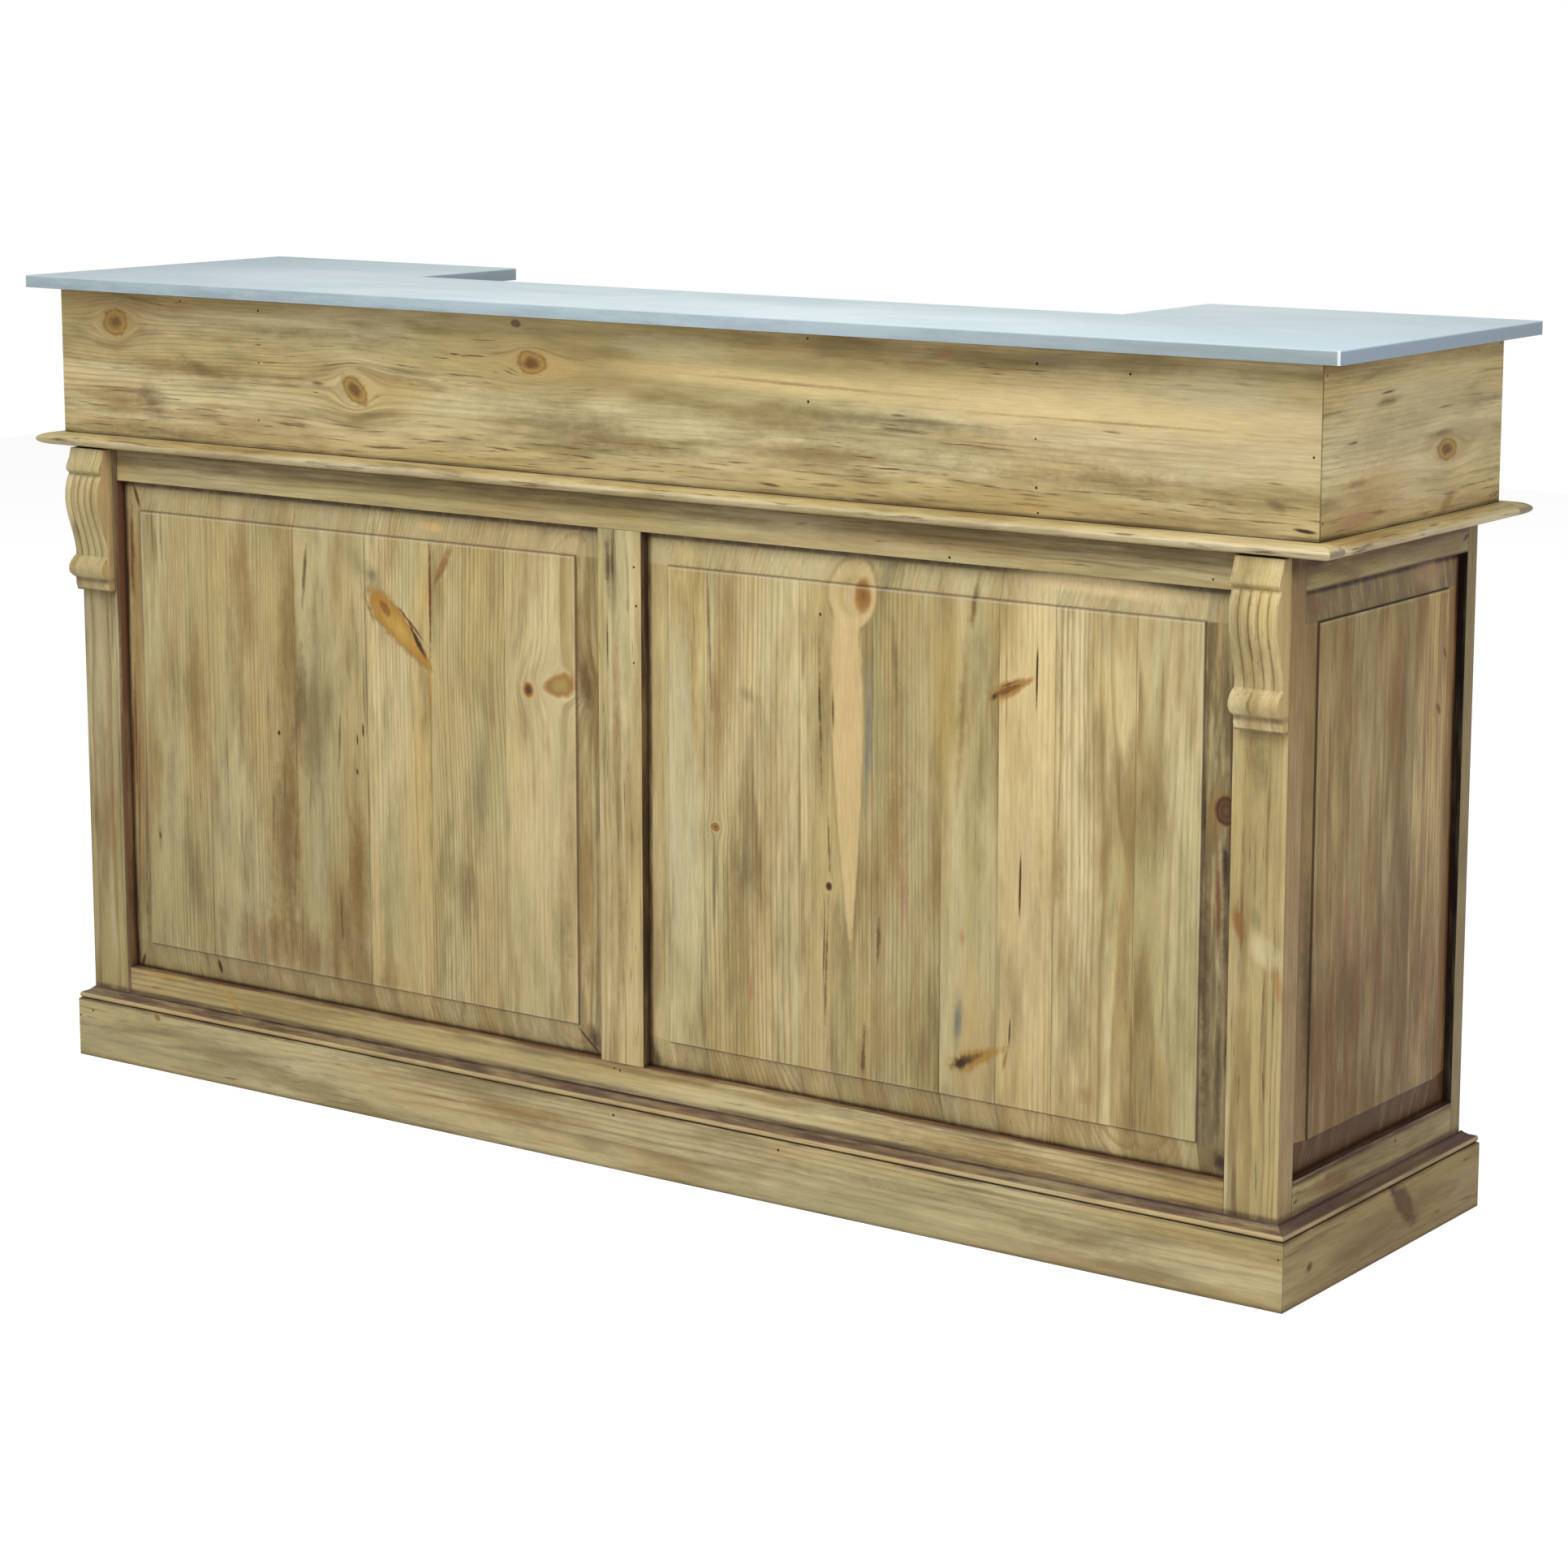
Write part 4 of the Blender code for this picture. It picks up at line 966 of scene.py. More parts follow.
# Colours from the middle of a knot to its rim, where it isn't like the others of its kind
darkKnot = (
    (0.0, (104, 76, 50)), (0.3, "umber"), (0.5, (96, 68, 42)), (0.72, "bark"), (0.86, "rust"), (1.0, "amber"),
)
leafColours = (
    (0.0, (196, 158, 80)), (0.45, (187, 147, 66)), (0.78, (172, 128, 52)), (0.92, "tan"), (1.0, "rust"),
)
pitKnot = ((0.0, "black"), (0.3, "bark"), (0.55, "rust"), (0.75, "amber"), (1.0, "honey"))
hollowKnot = (
    (0.0, "gold"), (0.4, (160, 134, 78)), (0.6, (148, 114, 58)), (0.74, "amber"), (0.87, (150, 114, 58)),
    (1.0, "honey"),
)
leftPanel = dict(
    seed=51,
    pale=0.6,
    step=fieldStep(panelFrame["left"]),
    bands=borderBands(
        panelFrame["left"], "x",
        left=((132, 106, 66), 0.5, 0.7), right=((112, 88, 50), 0.6, 0.8),
        bottom=((142, 120, 78), 0.4, 0.6), top=((198, 178, 134), 0.5, 0.6),
    ),
    planks=(
        (None, 0.56, 0.3), ((259, 900), 0.48, 0.5), ((365, 900), 0.34, 0.5),
        ((453, 900), 0.68, 0.5), ((531, 900), 0.56, 0.4), ((623, 900), 0.56, 0.55),
    ),
    marks=dict(
        darkPlankTop=smudge(345, 640, 372, 980, 60),
        darkPlankLow=smudge(352, 860, 356, 1190, 50, colour=(108, 86, 46)),
        darkPlankFoot=smudge(420, 1080, 430, 1200, 40, colour=(112, 88, 48)),
        darkPlankLine=smudge(376, 780, 362, 960, 26, colour=(98, 78, 44)),
        darkPlankEdge=streak(378, 655, 372, 760, 9),
        shadeTop=shade(428, 650, 442, 720, 46),
        broadSmudge=smudge(400, 720, 390, 1000, 60, strength=0.4),
        tanTop=tan(300, 690, 306, 820, 60),
        tanLeft=tan(240, 760, 250, 1000, 50),
        tanLow=tan(410, 1040, 418, 1190, 60),
        tanEdge=tan(440, 930, 442, 1180, 26),
        oliveLow=smudge(575, 1050, 586, 1140, 46, strength=0.7),
        fieldEdge=tan(708, 880, 706, 1250, 30),
        brownLow=tan(346, 900, 352, 1230, 90, colour=(130, 104, 54), strength=0.7),
        brownLowB=tan(440, 940, 446, 1240, 50, colour=(130, 100, 52), strength=0.85),
        brownCorner=tan(250, 1130, 490, 1210, 110, colour=(132, 106, 58), strength=0.85),
        redStreakA=streak(352, 900, 350, 1030, 5, colour=(112, 78, 42), strength=0.6),
        redStreakB=streak(338, 930, 336, 1100, 5, colour=(114, 80, 42), strength=0.6),
        redStreakC=streak(366, 980, 364, 1130, 5, colour=(108, 76, 40), strength=0.6),
        tanBorder=tan(164, 600, 168, 1120, 34, colour=(172, 134, 80), strength=0.9),
        redLeft=streak(156, 598, 160, 770, 13, colour=(118, 70, 44), solid=True, rough=1.8),
        redLeftLow=streak(160, 800, 164, 1000, 10, colour=(112, 66, 42)),
        mitreTop=crack(157, 596, 171, 627, 7, colour=(110, 70, 42)),
        mitreFoot=crack(163, 1203, 177, 1172, 7, colour=(92, 60, 40)),
        mitreFar=crack(708, 1262, 736, 1306, 6, colour=(92, 60, 40)),
        brownTop=tan(290, 640, 296, 770, 60),
        fieldEdgeLow=smudge(690, 1040, 694, 1240, 40, strength=0.5),
        firstPlank=smudge(216, 780, 212, 1100, 30, strength=0.45),
        tanCorner=tan(470, 1185, 500, 1225, 60),
        smudgeMiddle=smudge(566, 780, 574, 880, 22, strength=0.35),
        greyPlank=shade(592, 880, 596, 1060, 46),
        greenLow=green(480, 980, 486, 1180, 60),
        shadeEdge=shade(712, 805, 722, 900, 22),
        leafShadow=shade(440, 690, 474, 730, 40),
        leafRimWide=leaf(447, 717, 541, 838, 43, taper=-0.6, colour=(150, 112, 62), rough=1.2, soft=0.3,
                         strength=0.55),
        leafKnot=leaf(450, 721, 538, 832, 36, taper=-0.6, rough=0.8, soft=0.25, colours=leafColours),
        leafHead=leaf(448, 722, 488, 756, 24, colour=(174, 118, 54), soft=0.9, strength=0.45),
        leafFoot=leaf(494, 778, 534, 832, 16, colour=(170, 118, 52), soft=0.9, strength=0.35),
        leafHeart=pin(468, 738, 482, 762, 15, colour="rust", strength=0.75, push=False, solid=True,
                      rough=1.0),
        leafRim=crack(486, 742, 530, 800, 5, colour="rust", rough=1.6),
        leafBase=streak(448, 730, 464, 776, 7, colour="rust", strength=0.7),
        leafCrack=crack(502, 764, 526, 814, 9, taper=0.5, rough=1.2),
        leafDrip=gold(528, 820, 532, 890, 10, colour="amber"),
        longCrack=crack(529, 655, 531, 815, 5, colour=(112, 62, 32), rough=1.6),
        crackTail=gold(529, 790, 530, 880, 8),
        rustSlant=leaf(533, 728, 556, 672, 14, colour=(140, 98, 46), strength=0.8, taper=0.5, soft=0.6,
                       rough=1.6),
        borderPatch=flame(508, 646, 548, 654, 17, colour=(224, 186, 122), strength=0.8, soft=0.7),
        leafHatch=shade(452, 700, 464, 716, 16, colour=(122, 112, 92), strength=0.8, solid=True),
        smallKnot=knot(643, 851, 658, 850, 26, colours=pitKnot),
        paleKnot=ovalKnot(666, 848, 714, 842, 35, taper=0.3, colours=hollowKnot),
        paleKnotEar=smudge(716, 808, 723, 878, 22, colour=(104, 82, 46), strength=0.9, soft=0.7,
                           solid=True),
        stripTan=tan(719, 930, 723, 1260, 24, colour=(166, 130, 70), strength=0.85),
        stripLow=smudge(184, 980, 182, 1190, 20, colour=(98, 78, 42), strength=0.95),
        redPit=pin(342, 903, 346, 903, 8),
        pitA=crack(447, 889, 448, 912, 4),
        pitB=crack(440, 903, 441, 920, 3),
        pitC=crack(440, 946, 441, 956, 4),
        tornA=streak(420, 864, 417, 975, 6),
        tornB=streak(384, 950, 382, 1010, 5),
        tornC=streak(331, 845, 330, 895, 4),
        tornD=streak(420, 1090, 423, 1170, 5),
        borderPit=pin(267, 1180, 269, 1203, 9),
        borderResin=gold(262, 1130, 268, 1176, 8),
        leftPit=pin(197, 1024, 199, 1034, 5),
        leftPitTail=smudge(196, 1000, 200, 1060, 10),
        fleck=streak(246, 972, 248, 988, 3),
        cornerLow=dark(158, 1130, 166, 1205, 26),
        cornerFar=dark(724, 1262, 734, 1305, 26),
        leftLine=dark(168, 780, 166, 1190, 6, strength=0.7),
        innerLine=streak(180, 820, 178, 1180, 5),
    ),
)
finishWood("front_panel_left", "z", "y", "panel", **leftPanel)
tallColours = (
    (0.0, (116, 72, 30)), (0.3, (144, 96, 38)), (0.6, (160, 112, 48)), (0.8, (172, 126, 60)), (1.0, "honey"),
)
rightPanel = dict(
    seed=52,
    step=fieldStep(panelFrame["right"]),
    bands=borderBands(
        panelFrame["right"], "x",
        left=((168, 146, 96), 0.4, 0.6), right=((104, 86, 54), 0.82, 0.6),
        bottom=((138, 114, 72), 0.4, 0.7), top=((212, 196, 150), 0.6, 0.7),
    ),
    planks=(
        (None, 0.96, 0.35), ((868, 900), 0.68, 0.45), ((985, 900), 0.66, 0.5),
        ((1075, 900), 0.4, 0.35), ((1160, 900), 0.54, 0.35), ((1230, 900), 0.8, 0.72),
        ((1300, 900), 0.76, 0.5), ((1400, 900), 0.6, 0.35),
    ),
    marks=dict(
        darkPlank=smudge(1104, 760, 1116, 1060, 70, strength=0.42),
        paleEdge=pale(836, 690, 842, 1250, 60, colour=(206, 196, 156), strength=0.75),
        # Painted light over the top of the field, where the ledge's shadow falls
        paintedLightTop=flame(1220, 704, 1490, 742, 30, colour=(240, 214, 160), strength=0.9, soft=0.7),
        greyCloud=shade(902, 1020, 930, 1125, 54, colour=(130, 114, 76), strength=0.8),
        longTearA=streak(1009, 760, 1013, 1000, 5, solid=True, rough=2.2, strength=0.7),
        longTearB=streak(1020, 1000, 1023, 1085, 5, solid=True, rough=2.0, strength=0.7),
        longTearC=streak(1021, 1104, 1015, 1290, 5, solid=True, rough=2.2, strength=0.7),
        footTan=tan(1080, 1180, 1090, 1340, 80, colour=(166, 138, 84), strength=0.7),
        footWarm=flame(1192, 1150, 1200, 1420, 80, colour=(196, 168, 112), strength=0.75, soft=1.0),
        darkPlankHead=shade(1090, 660, 1092, 760, 30, strength=0.5),
        darkPlankEnd=streak(1100, 740, 1104, 880, 12, strength=0.5),
        blueShade=shade(1072, 760, 1068, 1060, 20, colour=(118, 120, 110), strength=0.9),
        blueLeft=shade(1024, 790, 1028, 960, 9, colour=(126, 124, 112), strength=0.8),
        greenLines=green(1084, 790, 1086, 1100, 26),
        greyLines=shade(1205, 730, 1212, 860, 44, strength=0.35),
        wideSmudge=smudge(915, 980, 925, 1220, 70, strength=0.45),
        greyPatch=shade(905, 845, 940, 870, 24),
        tanLeft=tan(880, 760, 884, 940, 30),
        tanMiddle=tan(1100, 900, 1110, 1150, 46),
        goldBand=gold(1166, 690, 1166, 1040, 62, colour=(178, 150, 82), strength=0.75),
        goldEdge=smudge(1194, 740, 1178, 1010, 16, colour=(126, 98, 42), strength=0.7, solid=True),
        darkEdge=dark(1203, 700, 1198, 786, 12, colour=(98, 72, 26), strength=0.8, solid=True),
        tanRight=tan(1290, 990, 1300, 1150, 60),
        farSmudge=smudge(1418, 900, 1420, 1150, 60, strength=0.36),
        farLow=smudge(1380, 1080, 1400, 1280, 60, strength=0.4),
        farGreen=green(1455, 1150, 1450, 1400, 50),
        tanFoot=tan(1325, 1340, 1350, 1360, 30),
        rosyA=rosy(924, 1190, 925, 1240, 12),
        rosyB=rosy(1115, 1050, 1113, 1170, 14),
        rosyC=rosy(1184, 1140, 1186, 1170, 12),
        pinkPlank=flame(1258, 690, 1262, 1440, 80, colour=(212, 188, 138), strength=0.4, soft=0.9),
        plankLineA=streak(1241, 690, 1240, 960, 3, colour="tan"),
        plankLineB=streak(1311, 700, 1305, 1000, 3, colour="tan"),
        flameRim=flame(1050, 680, 1050, 784, 82, colour=(148, 122, 80), soft=0.2, strength=0.7),
        flameRimTail=flame(1041, 690, 1048, 1200, 54, taper=-0.6, colour=(142, 120, 82), soft=0.3,
                           strength=0.7),
        flameHead=flame(1050, 686, 1050, 778, 74, colour=(216, 190, 136), soft=0.14, strength=0.9),
        flameTail=flame(1041, 696, 1048, 1184, 46, taper=-0.6, colour=(214, 187, 132), soft=0.2,
                        strength=0.9),
        knotRing=halo(1049, 704, 1050, 764, 54, colour=(184, 162, 104), soft=0.4, strength=0.7),
        knotRingIn=halo(1054, 712, 1055, 760, 40, colour=(214, 188, 140), soft=0.3, strength=0.6),
        tallKnot=knot(1062, 708, 1064, 760, 30, push=False, solid=True, soft=0.4, rough=0.45,
                      colours=tallColours),
        splitKnot=leaf(1214, 862, 1282, 833, 21, taper=-0.62, rough=1.2, soft=0.5, colour=(160, 118, 54)),
        splitHeart=leaf(1222, 858, 1262, 842, 9, taper=-0.4, rough=1.4, soft=0.6, colour=(122, 78, 38)),
        splitEnd=dark(1219, 864, 1232, 852, 11, colour=(58, 34, 22), solid=True, rough=1.4),
        splitEdge=dark(1230, 848, 1256, 838, 4, colour=(110, 74, 42), solid=True),
        crackA=crack(1279, 785, 1277, 880, 4),
        crackB=crack(1258, 1045, 1256, 1140, 4),
        crackC=crack(1245, 1250, 1243, 1292, 3),
        lowKnot=leaf(1160, 1318, 1250, 1288, 26, taper=-0.62, rough=1.4, soft=0.6, colour=(166, 126, 56)),
        lowHeart=leaf(1172, 1312, 1214, 1298, 12, taper=-0.4, rough=1.6, soft=0.6, colour=(122, 86, 40)),
        lowDark=dark(1168, 1318, 1198, 1302, 17, colour=(46, 28, 20), solid=True, rough=1.9),
        lowBlue=shade(1182, 1214, 1178, 1298, 19, colour=(112, 116, 104), strength=0.95),
        lowTail=streak(1242, 1288, 1235, 1322, 7, colour=(140, 92, 44)),
        smallKnot=knot(875, 1019, 888, 1019, 13),
        tinyKnot=pin(1017, 1092, 1026, 1092, 13),
        pitLineA=streak(1009, 830, 1010, 905, 4),
        pitLineB=streak(1026, 840, 1027, 910, 5),
        knotTail=streak(1017, 1090, 1014, 1240, 4),
        tornA=streak(1083, 1125, 1081, 1200, 8, solid=True, rough=1.8, strength=0.75),
        tornB=streak(1066, 1250, 1062, 1345, 8, solid=True, rough=1.8, strength=0.8),
        tornC=streak(871, 685, 877, 890, 6, colour=(96, 78, 60)),
        upperPit=pin(1010, 754, 1012, 760, 4),
        borderInner=dark(1490, 740, 1484, 1010, 8, colour=(92, 70, 42), solid=True, strength=0.75),
        borderMiddle=dark(1506, 740, 1508, 980, 12, colour=(92, 70, 44), strength=0.8),
        borderLow=dark(1484, 1040, 1480, 1440, 14, colour=(76, 58, 34), solid=True, rough=1.8,
                       strength=0.8),
        borderOuter=dark(1508, 1020, 1504, 1300, 16, colour=(66, 44, 28)),
        borderFoot=dark(1498, 1200, 1494, 1440, 10, colour=(76, 58, 36)),
        borderKnotHalo=tan(1492, 950, 1494, 1050, 34, strength=0.7),
        borderRed=streak(1496, 1020, 1499, 1200, 9, colour=(112, 62, 34), solid=True),
        borderCrack=dark(1484, 930, 1482, 1080, 5, colour=(52, 34, 24), solid=True),
        borderLines=dark(1511, 1030, 1510, 1200, 6, colour=(84, 58, 38), solid=True, rough=1.8,
                         strength=0.8),
        borderKnot=knot(1504, 978, 1509, 1024, 32, colours=darkKnot, strength=0.95, push=False,
                        solid=True,
                        rough=0.35),
        borderDark=dark(1504, 1015, 1506, 1130, 12),
        cornerLow=dark(796, 1280, 808, 1326, 24),
        cornerFar=dark(1490, 1416, 1508, 1452, 30),
    ),
)
finishWood("front_panel_right", "z", "y", "panel", **rightPanel)
print("front done")

# Ends: browner wood, with a plum-coloured stain along the panel's top border
sideRailTop = panelFrame["side"][2]
sideRails = dict(
    side_top_rail=dict(
        seed=60, smudge=0.6, tan=0.8, tone=0.74,
        bands=(
            # Painted shadow of the ledge over the upper part, with stain
            band("z", topRailBottom + 0.020, topRailBottom + 0.046, (84, 64, 48), 0.8, soft=0.008,
                 patchy=0.4),
            band("z", topRailBottom, topRailBottom + 0.046, (112, 84, 58), 0.45, patchy=0.8),
            # Painted shade in a line under the rail
            band("z", topRailBottom - 0.001, topRailBottom + 0.002, "stain", 0.8, soft=0.001, patchy=0.3),
        ),
    ),
    side_bottom_rail=dict(
        seed=61, smudge=0.7, tan=1.0, green=0.0, tone=0.70, stains=(((0, 0, 1), 0.97, "stain"),),
        bands=(
            band("z", sideRailTop - 0.007, sideRailTop + 0.001, "stain", 0.92, soft=0.003, patchy=0.5),
            band("z", capTop - 0.003, capTop + 0.007, "plum", 0.8, soft=0.003, patchy=0.5),
        ),
    ),
)
railMarks = dict(
    side_top_rail=dict(
        curvedStain=dark(1802, 668, 1812, 655, 8),
        darkEnd=dark(1606, 694, 1640, 688, 20, colour=(70, 52, 44), strength=0.8, solid=True),
    ),
    side_bottom_rail=dict(
        brownKnot=tan(1630, 1453, 1642, 1448, 14, colour="rust"),
        brownEnd=smudge(1590, 1482, 1690, 1434, 34, colour=(104, 72, 34), strength=0.8),
        pin=pin(1718, 1406, 1721, 1405, 6),
        endMark=streak(1592, 1484, 1600, 1478, 8),
    ),
)
for side in ("right", "left"):
    for name, settings in sideRails.items():
        marks = railMarks[name] if side == "right" else None
        finishWood(f"{name}_{side}", "y", "x", "frame", marks=marks, **settings)
sidePanel = dict(
    step=fieldStep(panelFrame["side"]),
    bands=[
        band("z", 0.1, 0.78, (122, 86, 46), 0.42, patchy=0.7),
        band("z", 0.1, 0.42, (104, 70, 22), 0.72, soft=0.16, patchy=0.5),
        *borderBands(
            panelFrame["side"], "y",
            left=((146, 120, 80), 0.6, 0.6), right=((136, 98, 64), 0.6, 0.5),
            bottom=((78, 46, 8), 0.95, 0.3), top=((124, 104, 78), 0.85, 0.45), line=0.9,
        ),
    ],
    tone=0.80, tan=0.9, pale=0.5, honey=0.6, green=0.1, lines=0.6, smudge=0.75,
    wornHighlight=0.05, grooved=0.85, grooveColour=(60, 42, 30),
    planks=((None, 0.5, 0.6), ((1665, 900), 0.44, 0.6), ((1706, 900), 0.52, 0.55), ((1742, 900), 1.05, 0.9)),
)
sideMarks = dict(
    borderKnot=knot(1612, 740, 1634, 752, 30, colour=(130, 97, 66), strength=0.7, push=False, solid=True),
    topTan=tan(1736, 714, 1796, 700, 34, colour=(168, 138, 98), strength=0.9, solid=True),
    lowDark=smudge(1614, 1040, 1612, 1420, 30, colour=(76, 58, 34), strength=0.85, solid=True),
    lowTan=smudge(1660, 1120, 1664, 1350, 84, colour=(98, 70, 30), strength=0.7),
    paleTop=tan(1712, 740, 1716, 870, 100, colour=(182, 152, 104), strength=0.5),
    paleEdge=tan(1766, 1120, 1750, 1320, 28, colour=(176, 134, 84), strength=0.7),
    oliveLeft=smudge(1650, 780, 1652, 1050, 30),
    rosyLeft=rosy(1660, 1080, 1664, 1200, 26, strength=0.4),
    rosyMiddle=rosy(1722, 760, 1726, 900, 18, strength=0.3),
    greyMiddle=shade(1744, 800, 1748, 1000, 16),
    knotUpper=pin(1779, 796, 1782, 812, 7, colour="rust"),
    knotLower=pin(1770, 866, 1775, 880, 9, colour="rust"),
    resinSpot=gold(1762, 1326, 1765, 1332, 6),
    tornLow=streak(1738, 1180, 1744, 1270, 6),
)
finishWood("side_panel_right", "z", "x", "panel", seed=70, marks=sideMarks, **sidePanel)
finishWood("side_panel_left", "z", "x", "panel", seed=71, **sidePanel)
rearPost = dict(
    tone=0.82, tan=0.8, bands=(footStain,),
    # The front face is a jamb of the side opening: painted black as shade, with stain
    stains=(((0, -1, 0), 1.0, "black"), *bothEnds(0.72, (100, 88, 62))),
)
for index, side in enumerate(("left", "right")):
    finishWood("rear_post_" + side, "z", "y", "frame", seed=66 + index, **rearPost)
finishWood("rear_top_rail", "x", "y", "frame", seed=68)
finishWood("rear_bottom_rail", "x", "y", "frame", seed=69)
print("ends done")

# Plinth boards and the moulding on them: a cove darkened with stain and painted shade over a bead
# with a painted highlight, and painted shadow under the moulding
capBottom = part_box("plinth_cap_front")[0].z
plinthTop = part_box("plinth_front")[1].z
capBands = (
    # Stain with painted shade in the cove, and a dark line at the joint above it
    band("z", capTop - 0.0085, capTop + 0.001, (84, 62, 54), 0.92, soft=0.0012, patchy=0.4),
    band("z", capTop - 0.0022, capTop + 0.001, (56, 32, 26), 0.9, soft=0.0006, patchy=0.3),
    # A painted highlight on the bead, and painted shadow where the moulding meets the plinth
    band("z", capBottom + 0.003, capBottom + 0.007, (190, 160, 122), 0.6, soft=0.001, patchy=0.7),
    band("z", capBottom - 0.001, capBottom + 0.0018, "stain", 0.8, soft=0.0008, patchy=0.5),
)
plinthBands = (
    # Painted shadow under the moulding along the plinth's top
    band("z", plinthTop - 0.0025, plinthTop + 0.001, "plum", 0.7, soft=0.0012, patchy=0.8),
    band("z", 0.0, 0.003, "umber", 0.4, soft=0.002, patchy=0.7),
)
plinthMarks = dict(
    front=dict(
        brownSpot=pin(190, 1249, 198, 1258, 10, colour="tan"),
        greyLineA=shade(100, 1262, 330, 1286, 12),
        greyLineB=shade(100, 1278, 420, 1312, 9),
        greyLineC=shade(480, 1318, 800, 1376, 12),
        greyLineD=smudge(820, 1400, 1180, 1480, 16),
        darkEdge=dark(356, 1272, 470, 1296, 10),
        darkEdgeB=dark(80, 1226, 140, 1234, 5),
        smudgeRight=smudge(1200, 1500, 1480, 1560, 40),
        tanMiddle=tan(540, 1350, 760, 1392, 30),
    ),
    right=dict(
        knotHalo=tan(1706, 1456, 1752, 1510, 46),
        knotTail=leaf(1712, 1456, 1747, 1509, 38, colour=(56, 30, 8), soft=0.5, rough=1.0, solid=True),
        knotHeart=leaf(1727, 1478, 1741, 1500, 12, colour=(104, 58, 18), soft=0.6, rough=1.2,
                       strength=0.7),
        knotDark=dark(1714, 1460, 1720, 1482, 14, colour=(36, 24, 16), solid=True, rough=1.6),
        holeRim=leaf(1608, 1568, 1618, 1556, 15, colour=(124, 72, 38), soft=0.5, rough=1.2),
        hole=dark(1610, 1566, 1616, 1558, 9, colour=(40, 24, 18), solid=True),
        tornA=streak(1796, 1480, 1816, 1472, 5),
        tornB=streak(1798, 1432, 1816, 1424, 4),
        orangeSpot=tan(1764, 1496, 1776, 1490, 8, colour="rust"),
        lowSmudge=smudge(1620, 1560, 1700, 1530, 30),
    ),
)
for index, side in enumerate(("front", "right", "left", "rear")):
    grain, face = ("x", "y") if side in ("front", "rear") else ("y", "x")
    own = dict(tone=0.84, green=0.6, tan=0.5) if side == "front" else dict(tone=0.72, green=0.2, tan=0.85)
    board = dict(
        own, marks=plinthMarks.get(side), bands=plinthBands, ringDark=0.32,
        stains=bothEnds(0.35, (122, 88, 50)),
    )
    finishWood("plinth_" + side, grain, face, "frame", seed=80 + index, **board)
    cap = dict(width=0.0002, bands=capBands, hollowShadeAndDirt=0.95, smudge=0.8, tone=1.0 if side == "front" else 0.47)
    finishWood("plinth_cap_" + side, grain, face, "moulding", seed=90 + index, **cap)

# Corbels: pale reeds with stain and painted shade in the grooves; top and bottom are measured down from the
# ledge
reeds = dict(count=5, top=0.034, bottom=0.152, groove=0.0014)
cornerMarks = dict(
    rustKnot=knot(124, 580, 134, 588, 14, strength=0.8),
    plumReeds=smudge(86, 636, 88, 676, 16, colour=(104, 80, 62), strength=0.8),
)
for index, name in enumerate(("corbel_left", "corbel_right")):
    low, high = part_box(name)
    bands = [
        # Painted shade along the foot, and painted shadow in the groove above it
        band("z", low.z, low.z + 0.0025, "umber", 0.8, soft=0.001, patchy=0.2),
        band("z", low.z + 0.012, low.z + 0.019, (96, 72, 44), 0.7, soft=0.003, patchy=0.4),
    ]
    for groove in range(1, reeds["count"]):
        middle = low.x + (high.x - low.x) * groove / reeds["count"]
        run = ("z", high.z - reeds["bottom"], high.z - reeds["top"])
        line = (middle - reeds["groove"] / 2, middle + reeds["groove"] / 2)
        # Stain with painted shade down each groove between the reeds
        bands.append(band("x", *line, (126, 92, 54), 0.85, soft=0.0010, patchy=0.5, within=run))
    settings = dict(
        seed=(103, 153)[index], width=0.0005, bands=bands, hollowShadeAndDirt=0.7, tone=0.99 + 0.15 * index, pith=1.45,
        core=0.02, pale=0.85, honey=0.25, stains=(((1, 0, 0), 0.65, (158, 132, 90)),),
    )
    finishWood(name, "z", "y", "moulding", marks=None if index else cornerMarks, **settings)
print("plinth and corbels done")

# What the counter holds inside, by the grain and the face of each board
insideBoards = dict(
    wing_divider_left="yx", wing_divider_right="yx", partition="zx",
    niche_head_rail_left="xy", niche_head_rail_right="xy", niche_sill_rail_left="xy",
    niche_sill_rail_right="xy", bar_top_rear_rail="xy", bar_top_cleat="xy", floor_bearer="xy",
    floor_board_left="xz", floor_board_right="xz", shelf_left="xz", shelf_right="xz",
    shelf_cleat_inner_left="yx", shelf_cleat_inner_right="yx",
    shelf_cleat_outer_left="yx", shelf_cleat_outer_right="yx",
)
for index, (name, ways) in enumerate(insideBoards.items()):
    finishWood(name, *ways, "inner", seed=110 + index)
print("inside done")

# Nail heads: sizes in metres, and where the photograph shows each, by the face that it is in
nailSizes = dict(headDiameter=0.0044, headHeight=0.0009, sunk=0.0005, sizeSpread=0.3, sides=12, seed=4)
nailSpots = dict(
    fasciaFront=dict(
        face="y", level=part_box("fascia_front")[0].y,
        dividerRightTop=(1278, 448), dividerRightHigh=(1276, 541), dividerRightLow=(1277, 601),
        dividerRightFoot=(1279, 632),
        dividerLeftTop=(318, 383), dividerLeftMiddle=(319, 447), dividerLeftFoot=(319, 518),
        middleTop=(995, 417), middleLow=(996, 495), rightTop=(1393, 461), cornerFoot=(1619, 564),
        leftTop=(222, 371),
    ),
    fasciaRight=dict(
        face="x", level=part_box("fascia_right")[1].x,
        cornerTop=(1636, 463), cornerFoot=(1630, 646), nicheSillA=(1837, 611), nicheSillB=(1842, 610),
        nicheHead=(1850, 422),
    ),
    frontFrame=dict(
        face="y", level=stileLow.y,
        stileA=(781, 699), stileB=(784, 747), stileC=(781, 817), stileFootA=(757, 1316),
        stileFootB=(764, 1319), railMiddle=(1170, 687), railRight=(1495, 714),
    ),
    plinthFront=dict(
        face="y", level=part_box("plinth_front")[0].y,
        leftA=(115, 1245), leftB=(100, 1250), middleA=(756, 1374), middleB=(959, 1417), rightA=(1575, 1553),
    ),
)


